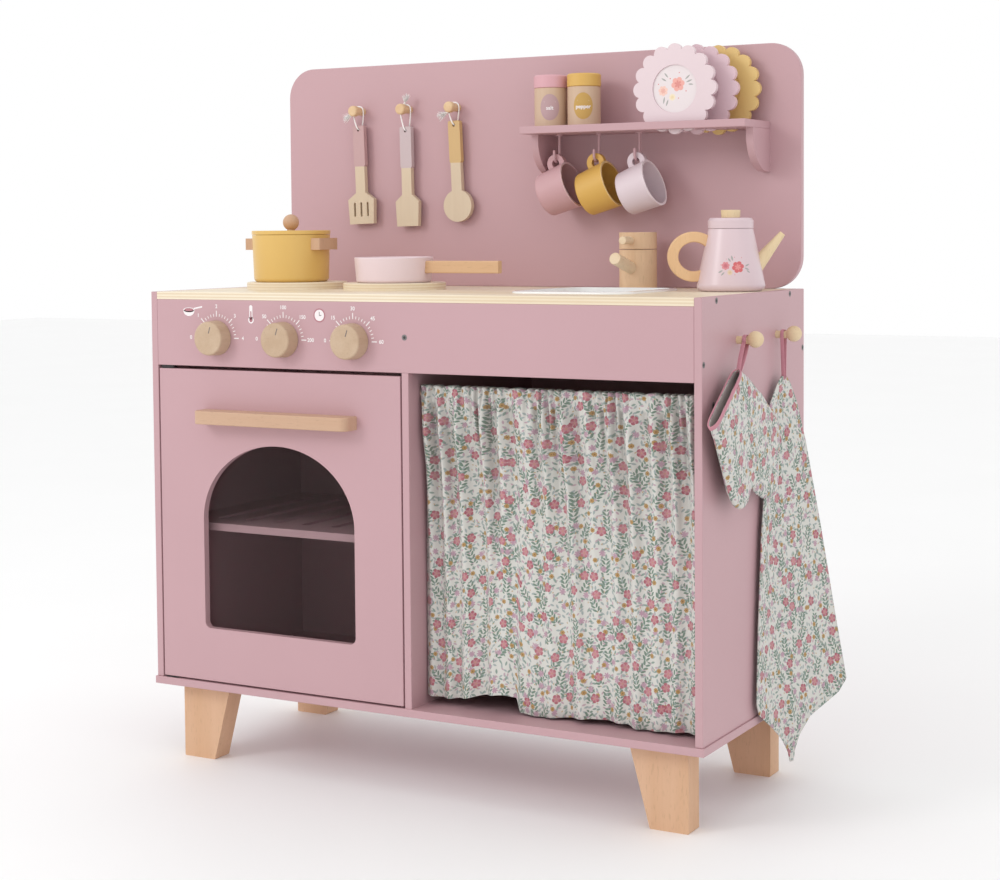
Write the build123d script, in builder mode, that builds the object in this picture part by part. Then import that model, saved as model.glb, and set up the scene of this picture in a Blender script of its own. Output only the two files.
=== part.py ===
from build123d import *
import os
from math import atan, cos, degrees, pi, radians, sin, tan

# A free-standing wooden toy kitchen, in millimetres. +Z is up, -Y is the front.
# The origin is on the floor, in the middle of the whole footprint.

# ---- driving dimensions: the cabinet ----
panel = 9.0                # every painted board and the plywood worktop
cabinet_width = 725.0
cabinet_depth = 306.0
leg_height = 92.0
worktop_top = 574.0
backsplash_top = 862.0
base_overhang = 2.0        # the base board past the sides and the front
handle_reach = 25.0        # the oven handle in front of the door
towel_reach = 58.0         # the hanging towel beyond the right side
board_ease = 0.8           # sanded edges of the painted boards

left = -(base_overhang + cabinet_width + towel_reach) / 2 + base_overhang
right = left + cabinet_width
front = -(handle_reach + cabinet_depth) / 2 + handle_reach
back = front + cabinet_depth
splash_front = back - panel
base_top = leg_height + panel
worktop_bottom = worktop_top - panel
fascia_bottom = 485.0
partition_left = left + 358.0
partition_right = partition_left + panel

# ---- driving dimensions: what stands, turns and hangs ----
door_gap_side = 2.0
door_gap_top = 4.0
window_half_width = 108.5
window_sill = 167.5
window_spring = 300.0      # where the arch starts
window_rise = 93.0
pivot_inset = 11.0         # door pivot from the door's left edge
pivot_radius = 2.5
running_gap = 0.05         # radial clearance of every turning fit
knob_radius = 21.0
knob_depth = 18.5
knob_height = 519.5        # knob axis above the floor
spindle_radius = 4.0
washer_radius = 8.0        # keeps the spindle behind the fascia
hob_radius = 63.0
hob_thickness = 8.5
hob_y = front + 155.0
tap_radius = 22.5
shelf_top = 770.5
shelf_depth = 80.0
shelf_left = left + 394.5
shelf_right = left + 686.5
peg_height = 802.3
peg_stem_radius = 5.0
utensil_length = 129.0
utensil_thickness = 7.0
string_radius = 0.9
hook_height = 728.0        # middle of the hook wire where a mug hangs
hook_wire_radius = 1.6
hook_bend = 7.0
mug_length = 40.0
mug_mouth_radius = 29.0
mug_tilt = 20.0            # the mouth looks up by this much
plate_radius = 43.5        # centre circle of the scallops
plate_thickness = 6.0
side_peg_height = 525.0
side_stem_radius = 4.25
rod_height = 460.0
rod_y = front + 30.0
rod_radius = 4.0

os.makedirs("parts", exist_ok=True)


def save(piece, name):
    piece.part.label = name
    export_step(piece.part, f"parts/{name}.step")


def facing_front(y, x=0.0, z=0.0):
    """A plane that looks to the front, with x to the right and z up."""
    return Plane(origin=(x, y, z), x_dir=(1, 0, 0), z_dir=(0, -1, 0))


def facing_right(x, y=0.0, z=0.0):
    """A plane that looks to the right, with y to its right and z up."""
    return Plane(origin=(x, y, z), x_dir=(0, 1, 0), z_dir=(1, 0, 0))


def block(x0, x1, y0, y1, z0, z1, ease=board_ease):
    """A rectangular board with sanded edges."""
    with BuildPart() as board:
        with Locations(((x0 + x1) / 2, (y0 + y1) / 2, (z0 + z1) / 2)):
            Box(x1 - x0, y1 - y0, z1 - z0)
        fillet(board.edges(), ease)
    return board


def turned(outline, axis_x, axis_y, base_z, ease=0.0):
    """A lathe-turned piece from (radius, height) points, with its base at base_z."""
    with BuildPart() as piece:
        with BuildSketch(facing_front(axis_y, axis_x, base_z)):
            with BuildLine():
                Polyline(*outline, close=True)
            make_face()
        revolve(axis=Axis((axis_x, axis_y, base_z), (0, 0, 1)))
        if ease:
            fillet(piece.edges().filter_by(GeomType.CIRCLE), ease)
    return piece


# ---- carcass boards ----
save(block(left, left + panel, front, back, base_top, worktop_top), "side_panel_left")
save(block(right - panel, right, front, back, base_top, worktop_top), "side_panel_right")
save(block(left - base_overhang, right + base_overhang, front - base_overhang, back, leg_height, base_top),
     "base_panel")
save(block(left + panel, right - panel, splash_front, back, base_top, worktop_top), "rear_panel")

with BuildPart() as partition_panel:
    with BuildSketch(facing_right(partition_left)):
        with BuildLine():
            Polyline((front, base_top), (splash_front, base_top), (splash_front, worktop_bottom),
                     (front + panel, worktop_bottom), (front + panel, fascia_bottom), (front, fascia_bottom),
                     close=True)
        make_face()
    extrude(amount=panel)
    fillet(partition_panel.edges().filter_by(Axis.Z).group_by(Axis.Y)[0], board_ease)
save(partition_panel, "partition_panel")

with BuildPart() as backsplash:
    corner_radius = 38.0
    with BuildSketch(facing_front(splash_front, (left + right) / 2, (worktop_top + backsplash_top) / 2)) as face:
        Rectangle(cabinet_width, backsplash_top - worktop_top)
        fillet(face.vertices().group_by(Axis.Z)[-1], corner_radius)
    extrude(amount=-panel)
    fillet(backsplash.faces().sort_by(Axis.Y)[0].edges() + backsplash.faces().sort_by(Axis.Y)[-1].edges(),
           board_ease)
save(backsplash, "backsplash")

# ---- legs: a plumb outer edge and a slanted inner edge ----
leg_thickness = 28.0
leg_foot_width = 45.5
leg_top_width = 70.0
leg_inset_side = 25.0
leg_inset_front = 20.0
leg_inset_back = 17.0
with BuildPart() as legs:
    for foot_front in (front + leg_inset_front, back - leg_inset_back - leg_thickness):
        for outer, inward in ((left + leg_inset_side, 1), (right - leg_inset_side, -1)):
            with BuildSketch(facing_front(foot_front)):
                with BuildLine():
                    Polyline((outer, 0), (outer + inward * leg_foot_width, 0),
                             (outer + inward * leg_top_width, leg_height), (outer, leg_height), close=True)
                make_face()
            extrude(amount=-leg_thickness)
    fillet(legs.edges().filter_by(Axis.Y), 1.5)
save(legs, "legs")

# ---- worktop with its sink ----
sink_left = left + 458.5
sink_right = left + 609.5
sink_front = front + 56.0
sink_back = front + 225.0
sink_x = (sink_left + sink_right) / 2
sink_y = (sink_front + sink_back) / 2
sink_flange = 7.0
sink_wall = 1.5
sink_depth = 38.0
sink_corner = 30.0
rim_height = 2.5
bowl_width = sink_right - sink_left - 2 * sink_flange
bowl_length = sink_back - sink_front - 2 * sink_flange
bowl_corner = sink_corner - sink_flange

with BuildPart() as worktop:
    with Locations(((left + right) / 2, (front + splash_front) / 2, worktop_top - panel / 2)):
        Box(cabinet_width - 2 * panel, splash_front - front, panel)
    fillet(worktop.edges().group_by(Axis.Z)[-1], board_ease)
    with BuildSketch(Plane.XY.offset(worktop_top)):
        with Locations((sink_x, sink_y)):
            RectangleRounded(bowl_width + 1.0, bowl_length + 1.0, bowl_corner + 0.5)
    extrude(amount=-panel, mode=Mode.SUBTRACT)
save(worktop, "worktop")

with BuildPart() as bowl_inside:
    with BuildSketch(Plane.XY.offset(worktop_top + rim_height)):
        with Locations((sink_x, sink_y)):
            RectangleRounded(bowl_width - 2 * sink_wall, bowl_length - 2 * sink_wall, bowl_corner - sink_wall)
    extrude(amount=-(sink_depth + rim_height - sink_wall))
    fillet(bowl_inside.edges().group_by(Axis.Z)[0], 12.0 - sink_wall)

with BuildPart() as sink_basin:
    with BuildSketch(Plane.XY.offset(worktop_top)):
        with Locations((sink_x, sink_y)):
            RectangleRounded(sink_right - sink_left, sink_back - sink_front, sink_corner)
    extrude(amount=rim_height)
    fillet(sink_basin.edges().group_by(Axis.Z)[-1], 1.8)
    with BuildSketch(Plane.XY.offset(worktop_top)):
        with Locations((sink_x, sink_y)):
            RectangleRounded(bowl_width, bowl_length, bowl_corner)
    extrude(amount=-sink_depth)
    fillet(sink_basin.edges().group_by(Axis.Z)[0], 12.0)
    add(bowl_inside.part, mode=Mode.SUBTRACT)
save(sink_basin, "sink_basin")

# ---- fascia with its three knobs ----
knob_axes = [left + 98.8, left + 196.0, left + 293.2]
with BuildPart() as fascia_panel:
    with Locations(((left + right) / 2, front + panel / 2, (fascia_bottom + worktop_bottom) / 2)):
        Box(cabinet_width - 2 * panel, panel, worktop_bottom - fascia_bottom)
    fillet(fascia_panel.edges().group_by(Axis.Y)[0], board_ease)
    with BuildSketch(facing_front(front)):
        with Locations(*[(x, knob_height) for x in knob_axes]):
            Circle(spindle_radius + running_gap)
    extrude(amount=-panel, mode=Mode.SUBTRACT)
save(fascia_panel, "fascia_panel")

for place, axis_x in zip(("left", "middle", "right"), knob_axes):
    with BuildPart() as knob:
        with BuildSketch(facing_front(front - 0.5, axis_x, knob_height)):
            Circle(knob_radius)
        extrude(amount=knob_depth, taper=3)
        fillet(knob.edges().group_by(Axis.Y)[0], 2.5)
        with BuildSketch(facing_front(front - 0.5, axis_x, knob_height)):
            Circle(spindle_radius)
        extrude(amount=-(panel + 3))
        with BuildSketch(facing_front(front + panel + 0.5, axis_x, knob_height)):
            Circle(washer_radius)
        extrude(amount=-2)
    save(knob, f"knob_{place}")

# ---- oven: door, window, handle, shelf ----
door_left = left + panel + door_gap_side
door_right = partition_left - door_gap_side
door_bottom = base_top + 2.0
door_top = fascia_bottom - door_gap_top
door_x = (door_left + door_right) / 2
pivot_x = door_left + pivot_inset
pivot_y = front + panel / 2
pin_depth = 8.0


def window_outline(grow, y):
    """The oven window's arch at depth y, larger by grow all round."""
    half = window_half_width + grow
    sill = window_sill - grow
    with BuildSketch(facing_front(y, door_x, 0)) as opening:
        with BuildLine():
            Line((-half, window_spring), (-half, sill))
            Line((-half, sill), (half, sill))
            Line((half, sill), (half, window_spring))
            EllipticalCenterArc((0, window_spring), half, window_rise + grow, 0, arc_size=180)
        make_face()
        fillet(opening.vertices().group_by(Axis.Z)[0], 8)
    return opening.sketch


with BuildPart() as door_panel:
    with Locations((door_x, front + panel / 2, (door_bottom + door_top) / 2)):
        Box(door_right - door_left, panel, door_top - door_bottom)
    fillet(door_panel.edges(), board_ease)
    extrude(window_outline(0, front), amount=-panel, mode=Mode.SUBTRACT)
    for edge_z, inward in ((door_top, -1), (door_bottom, 1)):
        with BuildSketch(Plane((pivot_x, pivot_y, edge_z))):
            Circle(pivot_radius + running_gap)
        extrude(amount=inward * (pin_depth + 1), mode=Mode.SUBTRACT)
save(door_panel, "door_panel")

window_thickness = 3.0
with BuildPart() as door_window:
    extrude(window_outline(12, front + panel), amount=-window_thickness)
save(door_window, "door_window")

handle_width = 218.0
handle_height = 16.0
handle_z = 425.5
with BuildPart() as door_handle:
    with BuildSketch(facing_front(front, door_x + 4.5, handle_z)):
        Rectangle(handle_width, handle_height)
    extrude(amount=handle_reach)
    fillet(door_handle.edges().filter_by(Axis.Z).group_by(Axis.Y)[0], 9)
    fillet(door_handle.edges().group_by(Axis.Y)[0], 1.2)
save(door_handle, "door_handle")

# window screws, handle screws and the magnet's strike plate, all on the back of the door
door_back = front + panel
window_back = door_back + window_thickness
window_screws = [(door_x + side * (window_half_width + 6), z) for side in (-1, 1) for z in (175, 240, 305)]
strike_z = 440.0
with BuildPart() as door_fixings:
    with BuildSketch(facing_front(window_back)):
        with Locations(*window_screws):
            Circle(3.5)
    extrude(amount=-1.8)
    with BuildSketch(facing_front(door_back)):
        with Locations(*[(door_x + 4.5 + side * 80, handle_z) for side in (-1, 1)]):
            Circle(5)
        with Locations((door_right - 12, strike_z)):
            RectangleRounded(14, 30, 2)
    extrude(amount=-1.2)
save(door_fixings, "door_fixings")

# plastic pivots, one under the fascia and one on the base board
with BuildPart() as door_pivots:
    for support_z, inward, height in ((fascia_bottom, -1, door_gap_top - 0.4), (base_top, 1, 1.6)):
        with BuildSketch(Plane((pivot_x, pivot_y, support_z))):
            RectangleRounded(20, 8, 3.5)
        extrude(amount=inward * height)
        with BuildSketch(Plane((pivot_x, pivot_y, support_z))):
            Circle(pivot_radius)
        extrude(amount=inward * (height + pin_depth))
save(door_pivots, "door_pivots")

with BuildPart() as magnet_catch:
    with Locations((partition_left - 7, door_back + 10.4, strike_z)):
        Box(14, 17, 34)
    fillet(magnet_catch.edges().filter_by(Axis.X), 1.5)
save(magnet_catch, "magnet_catch")

shelf_slots = 7
with BuildPart() as oven_shelf:
    oven_width = partition_left - left - panel
    with BuildSketch(Plane((left + panel + oven_width / 2, front + 155, 283.3))):
        Rectangle(oven_width, 270)
        with GridLocations(42, 0, shelf_slots, 1):
            SlotOverall(200, 12, rotation=90, mode=Mode.SUBTRACT)
    extrude(amount=panel)
save(oven_shelf, "oven_shelf")

# ---- hob, pot and pan ----
hob_axes = [left + 108.0, left + 252.8]
hob_top = worktop_top + hob_thickness
with BuildPart() as hob_discs:
    with BuildSketch(Plane.XY.offset(worktop_top)):
        with Locations(*[(x, hob_y) for x in hob_axes]):
            Circle(hob_radius)
    extrude(amount=hob_thickness)
    fillet(hob_discs.edges().group_by(Axis.Z)[-1], 1.0)
save(hob_discs, "hob_discs")

pot_x = left + 98.0
pot_y = hob_y + 2.0
pot_radius = 49.0
pot_height = 59.0
pot_wall = 4.0
grip_length = 41.0
grip_height = 14.5
grip_reach = 8.0
pot_grip_z = hob_top + 47.5

with BuildPart() as pot_body:
    with Locations((pot_x, pot_y, hob_top)):
        Cone(pot_radius - 2, pot_radius, pot_height, align=(Align.CENTER, Align.CENTER, Align.MIN))
    fillet(pot_body.edges().group_by(Axis.Z)[0], 5)
    with Locations((pot_x, pot_y, hob_top + pot_wall)):
        Cone(pot_radius - 2 - pot_wall, pot_radius - pot_wall, pot_height - pot_wall,
             align=(Align.CENTER, Align.CENTER, Align.MIN), mode=Mode.SUBTRACT)
save(pot_body, "pot_body")

with BuildPart() as pot_handles:
    for side in (-1, 1):
        with Locations((pot_x + side * (pot_radius - 8), pot_y, pot_grip_z)):
            Box(2 * (grip_reach + 8), grip_length, grip_height)
    fillet(pot_handles.edges().filter_by(Axis.Z), 2)
    with Locations((pot_x, pot_y, hob_top)):
        Cone(pot_radius - 2, pot_radius, pot_height, align=(Align.CENTER, Align.CENTER, Align.MIN),
             mode=Mode.SUBTRACT)
        Cylinder(pot_radius - 6, 2 * pot_height, mode=Mode.SUBTRACT)
save(pot_handles, "pot_handles")

lid_seat = hob_top + pot_height + 0.3
lid_height = 5.2
save(turned([(0, -3), (pot_radius - pot_wall - 1, -3), (pot_radius - pot_wall - 1, 0), (pot_radius + 0.5, 0),
             (pot_radius + 0.5, lid_height), (0, lid_height)], pot_x, pot_y, lid_seat, 0.9), "pot_lid")

with BuildPart() as pot_lid_knob:
    knob_ball = 10.2
    with Locations((pot_x, pot_y, lid_seat + lid_height + knob_ball)):
        Sphere(knob_ball)
    with Locations((pot_x, pot_y, lid_seat + lid_height)):
        Cylinder(5, 4, align=(Align.CENTER, Align.CENTER, Align.MIN))
save(pot_lid_knob, "pot_lid_knob")

pan_x = left + 251.5
pan_y = hob_y + 1.0
pan_radius = 48.5
pan_height = 31.0
pan_wall = 3.5
pan_handle_length = 104.0
pan_handle_height = 15.0
pan_handle_width = 9.0
with BuildPart() as pan_body:
    with Locations((pan_x, pan_y, hob_top)):
        Cone(pan_radius - 2.5, pan_radius, pan_height, align=(Align.CENTER, Align.CENTER, Align.MIN))
    fillet(pan_body.edges().group_by(Axis.Z)[0], 4)
    with Locations((pan_x, pan_y, hob_top + pan_wall)):
        Cone(pan_radius - 2.5 - pan_wall, pan_radius - pan_wall, pan_height - pan_wall,
             align=(Align.CENTER, Align.CENTER, Align.MIN), mode=Mode.SUBTRACT)
    fillet(pan_body.edges().group_by(Axis.Z)[-1], 1.2)
save(pan_body, "pan_body")

with BuildPart() as pan_handle:
    with BuildSketch(facing_right(pan_x, pan_y, hob_top + 19)):
        RectangleRounded(pan_handle_width, pan_handle_height, 1.5)
    extrude(amount=pan_radius + pan_handle_length - 4)
    with Locations((pan_x, pan_y, hob_top)):
        Cone(pan_radius - 2.5, pan_radius, pan_height, align=(Align.CENTER, Align.CENTER, Align.MIN),
             mode=Mode.SUBTRACT)
save(pan_handle, "pan_handle")

# ---- tap: a fixed body with a spout, and a head that turns with its lever ----
tap_x = left + 537.0
tap_y = front + 250.0
tap_body_height = 47.0
tap_head_height = 20.0
spout_angle = 15.0
spout_radius = 7.2
lever_radius = 4.8
tap_pin_radius = 6.0
with BuildPart() as tap_body:
    with Locations((tap_x, tap_y, worktop_top)):
        Cylinder(tap_radius, tap_body_height, align=(Align.CENTER, Align.CENTER, Align.MIN))
    fillet(tap_body.edges().group_by(Axis.Z)[-1], 0.8)
    with Locations((tap_x, tap_y, worktop_top + tap_body_height)):
        Cylinder(tap_pin_radius, 12, align=(Align.CENTER, Align.CENTER, Align.MIN))
save(tap_body, "tap_body")

spout_plane = Plane(origin=(tap_x, tap_y, worktop_top + 20),
                    x_dir=(1, 0, 0), z_dir=(0, -cos(radians(spout_angle)), sin(radians(spout_angle))))
with BuildPart() as tap_spout:
    with BuildSketch(spout_plane):
        Circle(spout_radius)
    extrude(amount=67)
    fillet(tap_spout.edges().group_by(Axis.Y)[0], 1.0)
    with Locations((tap_x, tap_y, worktop_top)):
        Cylinder(tap_radius, tap_body_height, align=(Align.CENTER, Align.CENTER, Align.MIN), mode=Mode.SUBTRACT)
save(tap_spout, "tap_spout")

head_bottom = worktop_top + tap_body_height + 0.6
with BuildPart() as tap_head:
    with Locations((tap_x, tap_y, head_bottom)):
        Cylinder(tap_radius, tap_head_height, align=(Align.CENTER, Align.CENTER, Align.MIN))
    fillet(tap_head.edges(), 0.8)
    with Locations((tap_x, tap_y, head_bottom)):
        Cylinder(tap_pin_radius + running_gap, 12.4, align=(Align.CENTER, Align.CENTER, Align.MIN),
                 mode=Mode.SUBTRACT)
save(tap_head, "tap_head")

lever_z = head_bottom + 10.5
with BuildPart() as tap_lever:
    with BuildSketch(facing_front(tap_y, tap_x, lever_z)):
        Circle(lever_radius)
    extrude(amount=44)
    fillet(tap_lever.edges().group_by(Axis.Y)[0], 0.8)
    with Locations((tap_x, tap_y, head_bottom)):
        Cylinder(tap_radius, tap_head_height, align=(Align.CENTER, Align.CENTER, Align.MIN), mode=Mode.SUBTRACT)
save(tap_lever, "tap_lever")

# ---- kettle, turned a little so that its spout looks to the back corner ----
kettle_x = left + 676.0
kettle_y = front + 200.0
kettle_turn = 29.0
kettle_base = 40.5
kettle_neck = 25.5
kettle_height = 71.0
kettle_wall = 4.0
kettle_lid_height = 12.0
across = (cos(radians(kettle_turn)), sin(radians(kettle_turn)), 0)
through = (sin(radians(kettle_turn)), -cos(radians(kettle_turn)), 0)
kettle_plane = Plane(origin=(kettle_x, kettle_y, worktop_top), x_dir=across, z_dir=through)
kettle_base_align = (Align.CENTER, Align.CENTER, Align.MIN)

with BuildPart() as kettle_body:
    with Locations((kettle_x, kettle_y, worktop_top)):
        Cone(kettle_base, kettle_neck, kettle_height, align=kettle_base_align)
    fillet(kettle_body.edges().group_by(Axis.Z)[0], 7)
    with Locations((kettle_x, kettle_y, worktop_top + kettle_wall)):
        Cone(kettle_base - kettle_wall - 1, kettle_neck - kettle_wall, kettle_height - kettle_wall,
             align=kettle_base_align, mode=Mode.SUBTRACT)
save(kettle_body, "kettle_body")

with BuildPart() as kettle_handle:
    with BuildSketch(kettle_plane) as grip:
        with Locations((-42, 39.5)):
            Ellipse(30, 28.5)
            Ellipse(18, 16.5, mode=Mode.SUBTRACT)
        with Locations((0, 39.5)):
            Rectangle(52, 90, mode=Mode.SUBTRACT)
    extrude(amount=6, both=True)
    fillet(kettle_handle.edges().filter_by(lambda edge: abs(edge.center().Z - worktop_top - 39.5) < 30), 1.5)
    with Locations((kettle_x, kettle_y, worktop_top)):
        Cone(kettle_base, kettle_neck, kettle_height, align=kettle_base_align, mode=Mode.SUBTRACT)
save(kettle_handle, "kettle_handle")

spout_lean = atan((60.2 - 30) / (640 - 603))
spout_length = 52.0
with BuildPart() as kettle_spout:
    spout_dir = (across[0] * sin(spout_lean), across[1] * sin(spout_lean), cos(spout_lean))
    spout_root = (kettle_x + 26 * across[0], kettle_y + 26 * across[1], worktop_top + 25)
    with BuildSketch(Plane(origin=spout_root, x_dir=through, z_dir=spout_dir)):
        Circle(9.5)
    with BuildSketch(Plane(origin=spout_root, x_dir=through, z_dir=spout_dir).offset(spout_length)):
        Circle(3.6)
    loft()
    with Locations((kettle_x, kettle_y, worktop_top)):
        Cone(kettle_base, kettle_neck, kettle_height, align=kettle_base_align, mode=Mode.SUBTRACT)
save(kettle_spout, "kettle_spout")

kettle_rim = worktop_top + kettle_height + 0.3
save(turned([(0, -4), (kettle_neck - kettle_wall - 1, -4), (kettle_neck - kettle_wall - 1, 0), (kettle_neck + 0.4, 0),
             (kettle_neck + 0.4, kettle_lid_height - 3), (kettle_neck - 2, kettle_lid_height), (0, kettle_lid_height)],
            kettle_x, kettle_y, kettle_rim, 0.8), "kettle_lid")
save(turned([(0, 0), (10.5, 0), (11.2, 9), (0, 9)], kettle_x, kettle_y, kettle_rim + kettle_lid_height, 0.8),
     "kettle_lid_knob")

# ---- wall shelf with its brackets, plates, shakers and cup hooks ----
shelf_bottom = shelf_top - panel
shelf_front = splash_front - shelf_depth
plate_spots = [(left + 594.5 + 17 * step, front + 231 + 25 * step) for step in range(3)]
plate_colours = ("flower", "pink", "mustard")
plate_centre_z = 808.5
scallops = 16
scallop_radius = pi * plate_radius / scallops * 1.08

with BuildPart() as wall_shelf:
    with Locations(((shelf_left + shelf_right) / 2, (shelf_front + splash_front) / 2, shelf_top - panel / 2)):
        Box(shelf_right - shelf_left, shelf_depth, panel)
    fillet(wall_shelf.edges(), board_ease)
    with BuildSketch(Plane.XY.offset(shelf_top)):
        with Locations(*plate_spots):
            Rectangle(78, plate_thickness + 1.4)
    extrude(amount=-panel, mode=Mode.SUBTRACT)
save(wall_shelf, "wall_shelf")

bracket_depth = 54.0
bracket_drop = 50.0
with BuildPart() as shelf_brackets:
    for outer_x in (shelf_left + 3, shelf_right - panel):
        with BuildSketch(facing_right(outer_x, splash_front, shelf_bottom)):
            with BuildLine():
                Line((0, 0), (-bracket_depth, 0))
                Line((-bracket_depth, 0), (-bracket_depth, -8))
                EllipticalCenterArc((-8, -8), bracket_depth - 8, bracket_drop - 8, 180, arc_size=90)
                Line((-8, -bracket_drop), (0, -bracket_drop))
                Line((0, -bracket_drop), (0, 0))
            make_face()
        extrude(amount=panel)
save(shelf_brackets, "shelf_brackets")

for colour, (x, y) in zip(plate_colours, plate_spots):
    with BuildPart() as plate:
        with BuildSketch(facing_front(y - plate_thickness / 2, x, plate_centre_z)):
            Circle(plate_radius + 2)
            with PolarLocations(plate_radius, scallops):
                Circle(scallop_radius)
        extrude(amount=-plate_thickness)
        with BuildSketch(facing_front(y - plate_thickness / 2, x, plate_centre_z)):
            Circle(28)
        extrude(amount=-1.8, mode=Mode.SUBTRACT)
    save(plate, f"plate_{colour}")

shaker_radius = 20.6
shaker_y = front + 257.0
for name, x in (("shaker_pink", left + 417.3), ("shaker_mustard", left + 462.6)):
    save(turned([(0, 0), (shaker_radius - 0.4, 0), (shaker_radius - 0.4, 47), (shaker_radius - 1.2, 47.4),
                 (shaker_radius, 48), (shaker_radius, 61.5), (shaker_radius - 1.5, 63), (0, 63)],
                x, shaker_y, shelf_top), name)

hook_y = front + 257.0
hook_xs = [left + 425.0 + 54.0 * step for step in range(3)]
with BuildPart() as cup_hooks:
    for x in hook_xs:
        with BuildLine(facing_right(x, hook_y, hook_height + hook_bend)) as wire:
            Line((hook_bend, shelf_bottom - hook_height - hook_bend), (hook_bend, 0))
            ThreePointArc((hook_bend, 0), (0, -hook_bend), (-hook_bend, 0))
            Line((-hook_bend, 0), (-hook_bend, 7))
        with BuildSketch(Plane(origin=(x, hook_y + hook_bend, shelf_bottom), z_dir=(0, 0, -1))):
            Circle(hook_wire_radius)
        sweep(path=wire.wires()[0])
        with Locations((x, hook_y + hook_bend, shelf_bottom)):
            Cylinder(4.0, 1.6, align=(Align.CENTER, Align.CENTER, Align.MAX))
save(cup_hooks, "cup_hooks")

# each mug hangs from its ring-shaped handle, mouth to the right and tilted up
mug_axis = (cos(radians(mug_tilt)), 0, sin(radians(mug_tilt)))
mug_base_radius = 26.5
mug_wall = 2.5
ring_outer = 11.5
ring_inner = 5.0
ring_stand = 3.0           # ring centre above the mug's wall
ring_from_mouth = 12.5
ring_drop = 2.1            # ring centre below the hook wire's middle
wall_at_ring = mug_mouth_radius - (mug_mouth_radius - mug_base_radius) * ring_from_mouth / mug_length
for colour, x in zip(("pink", "mustard", "lilac"), hook_xs):
    ring_plane = Plane(origin=(x, hook_y, hook_height - ring_drop), x_dir=mug_axis, z_dir=(0, -1, 0))
    base_centre = ring_plane.from_local_coords((ring_from_mouth - mug_length, -(wall_at_ring + ring_stand), 0))
    with BuildPart(Plane(origin=base_centre, x_dir=(0, 1, 0), z_dir=mug_axis)) as mug:
        Cone(mug_base_radius, mug_mouth_radius, mug_length, align=(Align.CENTER, Align.CENTER, Align.MIN))
        fillet(mug.edges().sort_by(Axis.X)[0:1], 3.0)
        with BuildSketch(ring_plane):
            Circle(ring_outer)
            with Locations((0, -ring_stand - 1)):
                Rectangle(2 * ring_outer, 2 * ring_stand)
        extrude(amount=3.5, both=True)
        with BuildSketch(ring_plane):
            Circle(ring_inner)
        extrude(amount=3.6, both=True, mode=Mode.SUBTRACT)
        with Locations((0, 0, mug_wall)):
            Cone(mug_base_radius - mug_wall, mug_mouth_radius - mug_wall, mug_length - mug_wall,
                 align=(Align.CENTER, Align.CENTER, Align.MIN), mode=Mode.SUBTRACT)
    save(mug, f"mug_{colour}")

# ---- utensils on their pegs, each hung by a loop of string through its handle ----
peg_xs = [left + 116.8, left + 189.6, left + 262.0]
handle_front = front + 284.0
peg_length = splash_front - (front + 271.0)
with BuildPart() as utensil_pegs:
    for x in peg_xs:
        with BuildSketch(facing_front(splash_front, x, peg_height)):
            Circle(peg_stem_radius)
        extrude(amount=peg_length)
        with BuildSketch(facing_front(front + 279.0, x, peg_height)):
            Circle(7)
        extrude(amount=8)
    fillet(utensil_pegs.edges().group_by(Axis.Y)[0], 2.5)
save(utensil_pegs, "utensil_pegs")

grip_width = 17.0
neck_width = 14.6
painted_length = 53.5
hole_below_top = 5.5


def string_route(hole):
    """The string's corner points in the utensil's own plane, (across, y, above the peg)."""
    behind = front + 293.2
    return [(0, handle_front + 3.2, -hole), (0, handle_front - 2.4, -hole), (-7.1, front + 283.6, -2.5),
            (-6.4, front + 284.6, 6.3), (6.4, front + 286.4, 6.3), (7.3, front + 287.6, -2.5),
            (1.6, behind, 8 - hole), (0, behind, -hole), (0, handle_front + 4.0, -hole)]


def leaning_plane(peg_x, lean):
    """A front-facing plane on a peg's axis, turned so that what hangs there leans."""
    return Plane(origin=(peg_x, handle_front, peg_height),
                 x_dir=(cos(radians(lean)), 0, sin(radians(lean))), z_dir=(0, -1, 0))


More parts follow.
